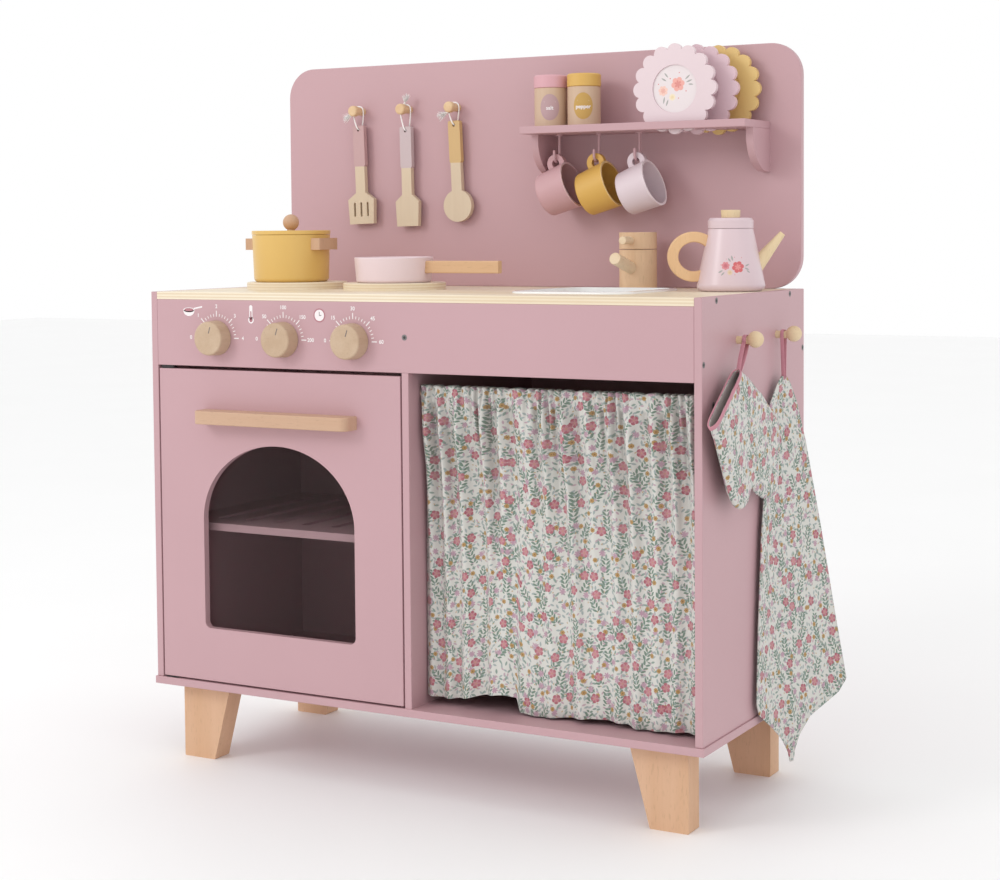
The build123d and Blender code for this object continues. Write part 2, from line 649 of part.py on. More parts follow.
utensils = (("turner", peg_xs[0], 2.0, 18.5), ("spatula", peg_xs[1], 1.2, 22.0), ("spoon", peg_xs[2], 2.6, 17.0))
for name, peg_x, lean, drop in utensils:
    plane = leaning_plane(peg_x, lean)
    bottom = -drop - utensil_length
    with BuildPart() as utensil:
        with BuildSketch(plane) as blank:
            with Locations((0, -drop - painted_length / 2)):
                RectangleRounded(grip_width, painted_length, 2.5)
            with Locations((0, -drop - utensil_length / 2)):
                Rectangle(neck_width, utensil_length - 50)
            if name == "spoon":
                with Locations((0, bottom + 20.5)):
                    Circle(20.5)
            else:
                half_head = 20.0 if name == "turner" else 17.5
                with BuildLine():
                    Polyline((neck_width / 2, bottom + 41), (half_head, bottom + 32), (half_head - 1.5, bottom),
                             (1.5 - half_head, bottom), (-half_head, bottom + 32), (-neck_width / 2, bottom + 41),
                             close=True)
                make_face()
        extrude(amount=-utensil_thickness)
        if name == "turner":
            with BuildSketch(plane):
                with Locations(*[(offset, bottom + 19) for offset in (-10, 0, 10)]):
                    SlotOverall(19, 3.0, rotation=90)
            extrude(amount=-utensil_thickness, mode=Mode.SUBTRACT)
        with BuildSketch(plane):
            with Locations((0, -drop - hole_below_top)):
                Circle(2.2)
        extrude(amount=-utensil_thickness, mode=Mode.SUBTRACT)
    save(utensil, name)

    across_dir = plane.x_dir
    up_dir = plane.y_dir
    corners = [Vector(peg_x, y, peg_height) + across_dir * u + up_dir * w
               for u, y, w in string_route(drop + hole_below_top)]
    radii = [1.5, 5, 4.2, 4.2, 5, 6, 1.5]
    with BuildPart() as string:
        with BuildLine() as route:
            FilletPolyline(*corners, radius=radii)
        with BuildSketch(Plane(origin=corners[0], z_dir=(0, -1, 0))):
            Circle(string_radius)
        sweep(path=route.wires()[0])
    section_times_length = pi * string_radius ** 2 * route.wires()[0].length
    print(f"{name} string: {route.wires()[0].length:.1f} mm, bends {radii}, "
          f"volume {string.part.volume:.1f} against {section_times_length:.1f}")
    save(string, f"{name}_string")

# ---- side pegs, oven mitt and towel ----
side_peg_ys = [front + 97.5, front + 215.5]
with BuildPart() as side_pegs:
    for y in side_peg_ys:
        with BuildSketch(facing_right(right, y, side_peg_height)):
            Circle(side_stem_radius)
        extrude(amount=16)
        with Locations((right + 21, y, side_peg_height + 1)):
            Sphere(9)
save(side_pegs, "side_pegs")

loop_inner = side_stem_radius + 0.35
loop_outer = loop_inner + 1.6
mitt_back = right + 11.5
mitt_outline = [(58, 499), (87, 490), (122, 469), (178, 432), (176, 378), (168, 347), (125, 348), (91, 363),
                (82, 347), (63, 344), (44, 350), (27, 364), (14, 391), (-14, 434), (-21, 443)]
with BuildPart() as oven_mitt:
    with BuildSketch(facing_right(mitt_back, front)):
        with BuildLine():
            Polyline(*mitt_outline, close=True)
        make_face()
    extrude(amount=12)
    fillet(oven_mitt.edges().filter_by(Axis.X), 3)
    with BuildSketch(facing_right(right + 7.5, front)):
        with BuildLine():
            Polyline((64, 490), (74, 490), (101, 519.8), (94, 519.8), close=True)
        make_face()
        with Locations((side_peg_ys[0] - front, side_peg_height)):
            Circle(loop_outer)
            Circle(loop_inner, mode=Mode.SUBTRACT)
    extrude(amount=4.5)
save(oven_mitt, "oven_mitt")

# each level of the towel is a bent strip: left, middle and right points beside the cabinet
towel_thickness = 6.5
towel_levels = [(478, (6, 207), (6.5, 213), (7, 219)),
                (448, (2.5, 178), (6, 212), (12, 240)),
                (300, (2.3, 152), (6, 210), (26, 283)),
                (110, (2.4, 136), (14, 215), (towel_reach - towel_thickness, 302)),
                (36, (14, 208), (16, 215), (18, 222))]


def towel_section(level, strip):
    """The towel's bent strip, cut level at one height."""
    inner = [(right + x, front + y) for x, y in strip]
    outer = [(x + towel_thickness, y) for x, y in reversed(inner)]
    with BuildSketch(Plane.XY.offset(level)) as section:
        with BuildLine():
            Polyline(*inner, *outer, close=True)
        make_face()
    return section.sketch


with BuildPart() as towel:
    for (upper, *upper_strip), (lower, *lower_strip) in zip(towel_levels, towel_levels[1:]):
        loft([towel_section(upper, upper_strip), towel_section(lower, lower_strip)], ruled=True)
    with BuildSketch(facing_right(right + 6.5, side_peg_ys[1], side_peg_height)):
        with Locations((0, -30.5)):
            Rectangle(6, 50.6)
        Circle(loop_outer)
        Circle(loop_inner, mode=Mode.SUBTRACT)
    extrude(amount=4)
save(towel, "towel")

# ---- curtain on its rod ----
curtain_left = partition_right + 1.5
curtain_right = right - panel - 1.5
curtain_bottom = base_top + 3.0
curtain_top = rod_height + 10.0
with BuildPart() as curtain:
    with Locations(((curtain_left + curtain_right) / 2, rod_y - 1, (curtain_bottom + curtain_top) / 2)):
        Box(curtain_right - curtain_left, 30, curtain_top - curtain_bottom)
    with Locations(((curtain_left + curtain_right) / 2, rod_y, rod_height)):
        Cylinder(rod_radius + 1, cabinet_width, rotation=(0, 90, 0), mode=Mode.SUBTRACT)
save(curtain, "curtain")

with BuildPart() as curtain_rod:
    with BuildSketch(facing_right(partition_right, rod_y, rod_height)):
        Circle(rod_radius)
    extrude(amount=right - panel - partition_right)
save(curtain_rod, "curtain_rod")

# ---- furniture screws: sunk heads with a hex socket, flush with the boards they hold ----
side_screws = [(front + 39.3, worktop_top - panel / 2), (front + 259, worktop_top - panel / 2),
               (front + panel / 2, 503.8), (back - panel / 2, 505), (back - panel / 2, 180)]
screw_length = 28.0
head_radius = 3.4
shank_radius = 1.7


def screw(plane):
    """One screw, sunk flush from the plane's outer side."""
    with BuildPart() as piece:
        with BuildSketch(plane):
            Circle(head_radius)
        extrude(amount=-2.5)
        with BuildSketch(plane):
            Circle(shank_radius)
        extrude(amount=-screw_length)
        with BuildSketch(plane):
            RegularPolygon(1.7, 6)
        extrude(amount=-1.6, mode=Mode.SUBTRACT)
    return piece.part


screw_planes = [facing_front(front, partition_left + panel / 2, 525.3), facing_right(right, rod_y, rod_height)]
for y, z in side_screws:
    screw_planes += [Plane(origin=(right, y, z), z_dir=(1, 0, 0)), Plane(origin=(left, y, z), z_dir=(-1, 0, 0))]
for y in (front + 34, back - 31):
    screw_planes += [Plane(origin=(x, y, leg_height), z_dir=(0, 0, -1)) for x in (left + 4.5, right - 4.5)]
with BuildPart() as cabinet_screws:
    for plane in screw_planes:
        add(screw(plane))
save(cabinet_screws, "cabinet_screws")
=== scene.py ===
import bpy, bmesh, random
from math import cos, exp, pi, radians, sin, sqrt
from mathutils import Matrix, Vector
from mathutils.geometry import delaunay_2d_cdt


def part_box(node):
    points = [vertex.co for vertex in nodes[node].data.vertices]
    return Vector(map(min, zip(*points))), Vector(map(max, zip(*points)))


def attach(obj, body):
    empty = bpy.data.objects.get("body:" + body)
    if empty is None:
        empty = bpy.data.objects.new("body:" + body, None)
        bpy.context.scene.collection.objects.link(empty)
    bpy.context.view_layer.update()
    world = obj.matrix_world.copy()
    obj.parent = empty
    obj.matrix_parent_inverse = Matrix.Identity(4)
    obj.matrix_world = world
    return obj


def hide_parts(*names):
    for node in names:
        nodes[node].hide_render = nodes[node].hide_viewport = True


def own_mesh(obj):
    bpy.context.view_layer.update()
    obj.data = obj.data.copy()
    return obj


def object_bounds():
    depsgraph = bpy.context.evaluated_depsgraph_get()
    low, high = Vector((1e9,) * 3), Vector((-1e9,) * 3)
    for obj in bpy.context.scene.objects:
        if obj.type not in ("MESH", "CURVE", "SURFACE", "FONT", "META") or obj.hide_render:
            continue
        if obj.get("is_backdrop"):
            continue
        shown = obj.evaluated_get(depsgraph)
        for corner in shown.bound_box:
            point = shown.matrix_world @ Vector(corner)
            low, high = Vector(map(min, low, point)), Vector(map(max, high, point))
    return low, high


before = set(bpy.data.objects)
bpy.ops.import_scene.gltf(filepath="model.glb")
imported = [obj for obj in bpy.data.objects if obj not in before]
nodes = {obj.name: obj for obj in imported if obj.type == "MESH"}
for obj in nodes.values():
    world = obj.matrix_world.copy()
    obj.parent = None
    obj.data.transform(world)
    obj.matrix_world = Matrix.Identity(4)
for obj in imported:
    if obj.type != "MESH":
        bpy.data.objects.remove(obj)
cad_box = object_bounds()
scene = bpy.context.scene
scene.view_settings.view_transform = "Standard"

# ---- camera ----
# The kitchen stands on the floor with its front to -Y, and is seen from the front right,
# a little above the worktop.
camera_data = bpy.data.cameras.new("camera")
camera_data.sensor_width = 36.0
camera_data.lens = 68.44
camera_data.shift_y = -0.11
camera = bpy.data.objects.new("camera", camera_data)
scene.collection.objects.link(camera)
yaw, pitch, roll = 0.5064, -0.0530, -0.0080
ahead = Vector((-sin(yaw) * cos(pitch), cos(yaw) * cos(pitch), sin(pitch)))
level = Vector((cos(yaw), sin(yaw), 0))
above = level.cross(ahead)
side = level * cos(roll) + above * sin(roll)
above = above * cos(roll) - level * sin(roll)
stand = Matrix.Translation((1.10499, -1.96065, 0.64657))
camera.matrix_world = stand @ Matrix((side, above, -ahead)).transposed().to_4x4()
scene.camera = camera

# ---- strings of the utensils ----
# Each wooden utensil hangs from its peg by a limp white cotton string. The string goes through
# the hole in the handle, over the peg, and back in from behind, with a frayed tail at its knot.
mm = 0.001
left, front = cad_box[0][0] + 2 * mm, cad_box[0][1] + 25 * mm
peg_z = 802.3 * mm


def node(tree, kind, inputs=(), **settings):
    """Add one shader node, set it up and wire or fill its inputs."""
    made = tree.nodes.new(kind)
    for key, value in settings.items():
        setattr(made, key, value)
    for key, value in dict(inputs).items():
        if isinstance(value, bpy.types.NodeSocket):
            tree.links.new(value, made.inputs[key])
        else:
            made.inputs[key].default_value = value
    return made


def sums(tree, operation, *values):
    return node(tree, "ShaderNodeMath", dict(enumerate(values)), operation=operation).outputs[0]


def blend_colour(tree, mask, under, over):
    made = node(tree, "ShaderNodeMix", {0: mask}, data_type="RGBA")
    for index, value in ((6, under), (7, over)):
        if isinstance(value, bpy.types.NodeSocket):
            tree.links.new(value, made.inputs[index])
        else:
            made.inputs[index].default_value = (*value, 1)
    return made.outputs[2]


def times(tree, a, b):
    return sums(tree, "MULTIPLY", a, b)


def plus(tree, a, b):
    return sums(tree, "ADD", a, b)


def minus(tree, a, b):
    return sums(tree, "SUBTRACT", a, b)


def ramp(tree, value, low, high):
    """A mask that climbs from 0 to 1 while the value goes from low to high."""
    return node(tree, "ShaderNodeMapRange", {0: value, 1: low, 2: high}).outputs[0]


def colour_by(tree, shader, mask, under, over):
    tree.links.new(blend_colour(tree, mask, under, over), shader.inputs["Base Color"])


def gloss_by(tree, shader, mask, low, high):
    """Let the roughness run from low to high with the mask."""
    spread = node(tree, "ShaderNodeMapRange", {0: mask, 3: low, 4: high})
    tree.links.new(spread.outputs[0], shader.inputs["Roughness"])


def finish_with(name, roughness=0.5, **sockets):
    """A new material, its node tree and its main shader."""
    made = bpy.data.materials.new(name)
    made.use_nodes = True
    shader = made.node_tree.nodes["Principled BSDF"]
    shader.inputs["Roughness"].default_value = roughness
    for key, value in sockets.items():
        shader.inputs[key.replace("_", " ").capitalize() if key != "IOR" else key].default_value = value
    return made, made.node_tree, shader


def bump(tree, shader, height, depth, strength=1.0):
    made = node(tree, "ShaderNodeBump", {"Height": height, "Distance": depth, "Strength": strength})
    tree.links.new(made.outputs[0], shader.inputs["Normal"])


def place_of(tree):
    return node(tree, "ShaderNodeTexCoord").outputs["Object"]


def noise(tree, where, scale, detail=3.0, stretch=(1, 1, 1), rough=0.5):
    spread = node(tree, "ShaderNodeMapping", {"Vector": where, "Scale": stretch})
    return node(tree, "ShaderNodeTexNoise", {"Vector": spread.outputs[0], "Scale": scale, "Detail": detail,
                                             "Roughness": rough}).outputs["Fac"]


def new_piece(name, points, faces, material, body, smooth=True):
    """A mesh piece in the object's own frame that rides on one body."""
    mesh = bpy.data.meshes.new(name)
    mesh.from_pydata([tuple(p) for p in points], [], faces)
    mesh.update()
    made = bpy.data.objects.new(name, mesh)
    scene.collection.objects.link(made)
    mesh.materials.append(material)
    for face in mesh.polygons:
        face.use_smooth = smooth
    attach(made, body)
    return made


def string_finish():
    made, tree, shader = finish_with("twisted_cotton", 0.85)
    where = place_of(tree)
    twist = noise(tree, where, 900, 2)
    colour_by(tree, shader, twist, (0.90, 0.87, 0.86), (0.97, 0.95, 0.94))
    bump(tree, shader, twist, 0.0003)
    shader.inputs["Sheen Weight"].default_value = 0.3
    return made


string_cotton = string_finish()
strands, strand_steps, thread = 70, 5, 0.3 * mm
random.seed(7)
hung = (("turner", 116.8, 2.0, 18.5, 83.8, (-5, 279, -5), (-1.0, -0.25)),
        ("spatula", 189.6, 1.2, 22.0, 90.3, (1, 283, 7.5), (0.35, 1.0)),
        ("spoon", 262.0, 2.6, 17.0, 81.0, (-6, 281, -6), (-1.0, -0.3)))
for name, peg_x, lean, drop, length, knot, tail_way in hung:
    peg_x = left + peg_x * mm
    across = Vector((cos(radians(lean)), 0, sin(radians(lean))))
    upward = Vector((-sin(radians(lean)), 0, cos(radians(lean))))
    hole = drop + 5.5
    route = [(0, 287.2, -hole), (0, 281.6, -hole), (-7.1, 283.6, -2.5), (-6.4, 284.6, 6.3),
             (6.4, 286.4, 6.3), (7.3, 287.6, -2.5), (1.6, 293.2, 8 - hole), (0, 293.2, -hole),
             (0, 288, -hole)]
    points = [Vector((peg_x, front + y * mm, peg_z)) + across * u * mm + upward * w * mm
              for u, y, w in route]
    curve = bpy.data.curves.new(name + "_cord", "CURVE")
    curve.dimensions = "3D"
    curve.bevel_depth = 0.9 * mm
    curve.bevel_resolution = 3
    spline = curve.splines.new("NURBS")
    spline.points.add(len(points) - 1)
    for spot, point in zip(spline.points, points):
        spot.co = (*point, 1)
    spline.order_u = 3
    spline.use_endpoint_u = True
    spline.resolution_u = 12
    cord = bpy.data.objects.new(name + "_cord", curve)
    scene.collection.objects.link(cord)
    curve.materials.append(string_cotton)
    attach(cord, name + "_body")
    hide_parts(name + "_string")
    # the frayed tail: loose cotton strands that fan out of the knot
    start = Vector((peg_x, front + knot[1] * mm, peg_z)) + across * knot[0] * mm + upward * knot[2] * mm
    verts, faces = [], []
    for strand in range(strands):
        way = Vector((tail_way[0], random.uniform(-0.45, 0.2), tail_way[1])).normalized()
        stray = Vector((random.gauss(0, 0.22), random.gauss(0, 0.16), random.gauss(0, 0.22)))
        way = (way + stray).normalized()
        reach = random.uniform(9, 15) * mm
        hang = random.uniform(0.5, 3) * mm
        width = Vector((random.gauss(0, 1), random.gauss(0, 1), random.gauss(0, 1)))
        width = width.cross(way).normalized() * thread
        first = len(verts)
        for step in range(strand_steps + 1):
            t = step / strand_steps
            middle = start + way * reach * t + Vector((0, 0, -hang * t * t))
            lift = way.cross(width).normalized() * thread
            size = 1.0 - 0.6 * t
            verts += [middle + width * size, middle + lift * size, middle - width * size - lift * size]
        for step in range(strand_steps):
            a = first + 3 * step
            faces += [(a + i, a + (i + 1) % 3, a + 3 + (i + 1) % 3, a + 3 + i) for i in range(3)]
    tail = new_piece(name + "_frayed_tail", verts, faces, string_cotton, name + "_body")
    knot_rings, knot_turns = 8, 12
    verts = [start + Vector((cos(2 * pi * j / knot_turns) * sin(pi * i / knot_rings),
                             sin(2 * pi * j / knot_turns) * sin(pi * i / knot_rings),
                             cos(pi * i / knot_rings) * 0.8)) * (1.7 + 0.25 * sin(5 * j)) * mm
             for i in range(knot_rings + 1) for j in range(knot_turns)]
    faces = [(i * knot_turns + j, i * knot_turns + (j + 1) % knot_turns,
              (i + 1) * knot_turns + (j + 1) % knot_turns,
              (i + 1) * knot_turns + j) for i in range(knot_rings) for j in range(knot_turns)]
    lump = new_piece(name + "_knot", verts, faces, string_cotton, name + "_body")

# ---- floor and studio light ----
# A plain pale floor under wide soft lamps: the main one high on the left, a weaker one on the right.
floor_finish, tree, shader = finish_with("pale_floor", 0.6)
where = place_of(tree)
colour_by(tree, shader, noise(tree, where, 3), (0.93, 0.93, 0.93), (0.96, 0.96, 0.96))
floor_mesh = bpy.data.meshes.new("floor")
floor_mesh.from_pydata([(-9, -9, 0), (9, -9, 0), (9, 9, 0), (-9, 9, 0)], [], [(0, 1, 2, 3)])
floor = bpy.data.objects.new("floor", floor_mesh)
floor_mesh.materials.append(floor_finish)
scene.collection.objects.link(floor)
floor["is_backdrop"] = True
world = bpy.data.worlds.new("studio")
scene.world = world
world.use_nodes = True
world.node_tree.nodes["Background"].inputs[0].default_value = (1.0, 1.0, 1.0, 1)
world.node_tree.nodes["Background"].inputs[1].default_value = 1.0
for name, spot, size, power in (("key", (-1.5, -2.4, 1.9), 1.0, 19), ("fill", (2.6, -2.2, 1.4), 2.2, 3)):
    lamp = bpy.data.lights.new(name, "AREA")
    lamp.shape = "SQUARE"
    lamp.size = size
    lamp.energy = power
    shine = bpy.data.objects.new(name, lamp)
    shine.location = spot
    shine.rotation_euler = (Vector((0, 0, 0.5)) - Vector(spot)).to_track_quat("-Z", "Y").to_euler()
    scene.collection.objects.link(shine)

# ---- painted cabinet boards ----
# Sides, base, rear, partition, oven shelf, fascia, door, backsplash and wall shelf are 9 mm boards,
# sprayed in one dusty pink satin paint with slightly sanded edges and screwed together.


def paint(name, colour, shade=0.93, roughness=0.42, coat=0.0, grain=420.0):
    """Sprayed satin paint: a faint cloudiness in its colour and a fine orange peel in its gloss."""
    made, tree, shader = finish_with(name, roughness)
    where = place_of(tree)
    cloud = noise(tree, where, 6, 3)
    colour_by(tree, shader, cloud, [c * shade for c in colour], colour)
    peel = noise(tree, where, grain, 2)
    gloss_by(tree, shader, peel, roughness - 0.05, roughness + 0.08)
    bump(tree, shader, peel, 0.00006, 0.6)
    shader.inputs["Coat Weight"].default_value = coat
    shader.inputs["Coat Roughness"].default_value = 0.25
    return made


def dress(material, *names):
    for name in names:
        nodes[name].data.materials.clear()
        nodes[name].data.materials.append(material)


pink_paint = paint("dusty_pink_paint", (0.545, 0.336, 0.362))
dress(pink_paint, "side_panel_left", "side_panel_right", "base_panel", "rear_panel", "partition_panel",
      "oven_shelf",
      "fascia_panel", "door_panel", "backsplash", "wall_shelf", "shelf_brackets")

# ---- legs, worktop and hob discs ----
# The legs are solid beech, screwed up into the base board. The worktop and the two hob discs
# are clear-lacquered plywood: pale veneer on top, thin plies along the edges.


def timber(name, light, dark, along, rings=26.0, flecks=0.25, roughness=0.5):
    """Solid wood with its grain along one axis: long soft bands, fine fibres and short dark flecks."""
    made, tree, shader = finish_with(name, roughness)
    where = place_of(tree)
    long = tuple(0.09 if axis == along else 1.0 for axis in "XYZ")
    bands = noise(tree, where, rings, 4, long, 0.55)
    fibres = noise(tree, where, 420, 3, tuple(0.04 if axis == along else 1.0 for axis in "XYZ"), 0.6)
    spots = noise(tree, where, 700, 1, tuple(0.14 if axis == along else 1.0 for axis in "XYZ"))
    spots = ramp(tree, spots, 0.62, 0.72)
    colour = blend_colour(tree, ramp(tree, bands, 0.35, 0.68), light, dark)
    colour = blend_colour(tree, times(tree, fibres, 0.35), colour, [c * 0.86 for c in dark])
    colour = blend_colour(tree, times(tree, spots, flecks), colour, [c * 0.62 for c in dark])
    tree.links.new(colour, shader.inputs["Base Color"])
    gloss_by(tree, shader, fibres, roughness - 0.06, roughness + 0.12)
    bump(tree, shader, minus(tree, fibres, times(tree, spots, 0.5)), 0.00012, 0.5)
    return made


def plywood(name, top_mm, thick_mm):
    """Plywood with pale veneer faces and five plies that show on the cut edge."""
    made, tree, shader = finish_with(name, 0.45)
    where = place_of(tree)
    bands = noise(tree, where, 9, 5, (0.16, 1.0, 1.0), 0.6)
    fibres = noise(tree, where, 330, 3, (0.04, 1, 1), 0.6)
    veneer = blend_colour(tree, ramp(tree, bands, 0.4, 0.62),
                          (0.88, 0.79, 0.63), (0.78, 0.66, 0.48))
    veneer = blend_colour(tree, times(tree, fibres, 0.3), veneer, (0.62, 0.48, 0.31))
    height = node(tree, "ShaderNodeSeparateXYZ", {0: where}).outputs[2]
    ply = times(tree, minus(tree, top_mm * mm, height), 1000 * 5 / thick_mm)
    odd = sums(tree, "MODULO", sums(tree, "FLOOR", plus(tree, ply, times(tree, bands, 0.35))), 2.0)
    inner = times(tree, odd, 0.55)
    colour_by(tree, shader, inner, veneer, (0.66, 0.50, 0.32))
    bump(tree, shader, fibres, 0.0001, 0.5)
    shader.inputs["Coat Weight"].default_value = 0.15
    shader.inputs["Coat Roughness"].default_value = 0.3
    return made


beech_upright = timber("beech_upright", (0.72, 0.46, 0.30), (0.64, 0.38, 0.22), "Z", 18)
beech_across = timber("beech_across", (0.63, 0.43, 0.30), (0.55, 0.34, 0.22), "X", 22)
beech_turned = timber("beech_turned", (0.58, 0.43, 0.30), (0.50, 0.35, 0.23), "Y", 40)
dress(beech_upright, "legs")
dress(plywood("worktop_plywood", 574, 9), "worktop")
dress(plywood("hob_plywood", 582.5, 8.5), "hob_discs")

# ---- fascia: printed dials and icons, and three beech knobs ----
# White ink is screen-printed on the fascia: a fan of ticks with numbers round each knob, and a pan,
# a thermometer and a clock. The knobs are turned beech on spindles, with one burnt-in line each.
ink, tree, shader = finish_with("white_ink", 0.55)
colour_by(tree, shader, noise(tree, place_of(tree), 700), (0.80, 0.74, 0.74), (0.90, 0.86, 0.86))
dark_ink, tree, shader = finish_with("dark_ink", 0.6)
colour_by(tree, shader, noise(tree, place_of(tree), 700), (0.12, 0.10, 0.10), (0.20, 0.17, 0.16))
mauve_ink, tree, shader = finish_with("mauve_ink", 0.55)
colour_by(tree, shader, noise(tree, place_of(tree), 700), (0.40, 0.16, 0.19), (0.46, 0.20, 0.23))
print_y = front - 0.12 * mm


def outline_ring(cx, cz, shape):
    return [(left + (cx + x) * mm, (cz + z) * mm) for x, z in shape]


def flat_print(name, outlines, material, body, y=print_y):
    """Thin flat shapes of ink in a plane that faces the front."""
    verts, faces = [], []
    for outline in outlines:
        faces.append(tuple(range(len(verts), len(verts) + len(outline))))
        verts += [(x, y, z) for x, z in outline]
    return new_piece(name, verts, faces, material, body, smooth=False)


def lettering(text, size):
    """Flat triangles of a plain number or word, centred, in millimetres."""
    curve = bpy.data.curves.new("word", "FONT")
    curve.body = text
    curve.size = size
    curve.offset = 0.025 * size
    curve.align_x = "CENTER"
    curve.align_y = "CENTER"
    holder = bpy.data.objects.new("word", curve)
    scene.collection.objects.link(holder)
    mesh = bpy.data.meshes.new_from_object(holder.evaluated_get(bpy.context.evaluated_depsgraph_get()))
    bpy.data.objects.remove(holder)
    return [v.co.copy() for v in mesh.vertices], [tuple(p.vertices) for p in mesh.polygons]


dials = (("left", 98.8, ("0", "1", "2", "3", "4")), ("middle", 196.0, ("0", "50", "100", "150", "200")),
         ("right", 293.2, ("0", "15", "30", "45", "60")))
dial_z = 519.5
for place, dial_x, numbers in dials:
    ticks = []
    for step in range(-10, 11):
        angle = radians(9 * step)
        long = step % 5 == 0
        half = 0.65 if long else 0.5
        out = Vector((sin(angle), cos(angle)))
        sideways = Vector((cos(angle), -sin(angle)))
        near, far = 25.5, 32.5 if long else 29.0
        tick_shape = [out * near - sideways * half, out * far - sideways * half,
                      out * far + sideways * half, out * near + sideways * half]
        ticks.append(outline_ring(dial_x, dial_z, tick_shape))
    verts = [(x, print_y, z) for tick in ticks for x, z in tick]
    faces = [tuple(range(4 * i, 4 * i + 4)) for i in range(len(ticks))]
    for word, degrees_round in zip(numbers, (-90, -45, 0, 45, 90)):
        glyph, triangles = lettering(word, 6.2)
        cx = dial_x + 38.5 * sin(radians(degrees_round))
        cz = dial_z + 37.5 * cos(radians(degrees_round))
        faces += [tuple(len(verts) + i for i in triangle) for triangle in triangles]
        verts += [(left + (cx + g.x) * mm, print_y, (cz + g.y) * mm) for g in glyph]
    new_piece("dial_print_" + place, verts, faces, ink, "cabinet", smooth=False)
    # the knob's pointer line, a little clockwise of upright
    angle = radians(18)
    out, sideways = Vector((sin(angle), cos(angle))), Vector((cos(angle), -sin(angle)))
    near, far, half = 6.5, 14.5, 0.6
    shape = [out * near - sideways * half, out * far - sideways * half,
             out * far + sideways * half, out * near + sideways * half]
    flat_print("knob_line_" + place, [outline_ring(dial_x, dial_z, shape)], dark_ink, "knob_" + place[0],
               front - 19.08 * mm)
    dress(beech_turned, "knob_" + place)


def oval(rx, rz, start=0, end=360, steps=28):
    angles = [radians(start + (end - start) * i / steps) for i in range(steps + (end - start < 360))]
    return [(rx * cos(angle), rz * sin(angle)) for angle in angles]


pan_icon = [outline_ring(57.6, 552.5, oval(8.4, 2.9)), outline_ring(57.6, 552.0, oval(8.4, 7.0, 180, 360)),
            outline_ring(57.6, 551, [(7.5, 2.2), (20, 4.4), (20, 6.4), (7.5, 4.0)])]
flat_print("pan_icon", pan_icon, ink, "cabinet")
flat_print("pan_icon_food", [outline_ring(57.6, 552.7, oval(6.8, 1.9))], mauve_ink, "cabinet",
           print_y - 0.1 * mm)
tube_top = [(2.3 * cos(radians(a)), 9 + 2.3 * sin(radians(a))) for a in range(180, -1, -20)]
tube = [(-2.3, -6), (-2.3, 9), *tube_top, (2.3, -6)]
flat_print("thermometer_icon", [outline_ring(149.6, 548, tube), outline_ring(149.6, 541.5, oval(4.0, 4.0))],
           ink, "cabinet")
flat_print("thermometer_column", [outline_ring(149.6, 547, [(-0.8, -5), (0.8, -5), (0.8, 5), (-0.8, 5)]),
                                  outline_ring(149.6, 541.5, oval(2.3, 2.3))], mauve_ink, "cabinet",
           print_y - 0.1 * mm)
flat_print("clock_rim", [outline_ring(247.2, 548.6, oval(8.2, 8.2))], mauve_ink, "cabinet")
flat_print("clock_face", [outline_ring(247.2, 548.6, oval(6.6, 6.6))], ink, "cabinet", print_y - 0.1 * mm)
hands = [(-0.35, 0), (-0.35, 4.2), (0.35, 4.2), (0.35, 0.35), (3.0, 0.35), (3.0, -0.35), (-0.35, -0.35)]
flat_print("clock_hands", [outline_ring(247.2, 548.6, hands)], dark_ink, "cabinet", print_y - 0.2 * mm)

# ---- oven door ----
# A painted board with an arched window of smoked clear acrylic screwed on behind, a beech bar for a
# handle and steel pivots at its left edge; a catch with a magnet in the oven holds it shut.
acrylic, tree, shader = finish_with("smoked_clear_acrylic", 0.03, IOR=1.49, Alpha=0.13)
smear = noise(tree, place_of(tree), 14, 3)
colour_by(tree, shader, smear, (0.012, 0.009, 0.009), (0.022, 0.017, 0.017))
gloss_by(tree, shader, smear, 0.02, 0.06)
dress(acrylic, "door_window")
dress(beech_across, "door_handle")

zinc, tree, shader = finish_with("zinc_plated_steel", 0.38, Metallic=1.0)
scuffs = noise(tree, place_of(tree), 600, 3)
colour_by(tree, shader, scuffs, (0.32, 0.31, 0.30), (0.50, 0.49, 0.47))
bump(tree, shader, scuffs, 0.00005)
dress(zinc, "door_fixings", "cabinet_screws")
pivot_steel, tree, shader = finish_with("blackened_steel", 0.5, Metallic=0.8)
colour_by(tree, shader, noise(tree, place_of(tree), 500), (0.03, 0.028, 0.028), (0.07, 0.065, 0.065))
dress(pivot_steel, "door_pivots")

socket_dark, tree, shader = finish_with("socket_shadow", 0.7)
colour_by(tree, shader, noise(tree, place_of(tree), 900), (0.02, 0.02, 0.02), (0.06, 0.055, 0.05))
head_zinc, tree, shader = finish_with("worn_screw_head", 0.45, Metallic=0.6)
colour_by(tree, shader, noise(tree, place_of(tree), 900), (0.16, 0.15, 0.15), (0.26, 0.25, 0.25))
cabinet_wide = 725 * mm
right_face = left + cabinet_wide
outer_screws = [(Vector((left + 362.5 * mm, front, 525.3 * mm)), Vector((0, -1, 0))),
                (Vector((right_face, front + 30 * mm, 460 * mm)), Vector((1, 0, 0)))]
for y, z in ((39.3, 569.5), (259, 569.5), (4.5, 503.8), (301.5, 505), (301.5, 180)):
    outer_screws += [(Vector((right_face, front + y * mm, z * mm)), Vector((1, 0, 0))),
                     (Vector((left, front + y * mm, z * mm)), Vector((-1, 0, 0)))]
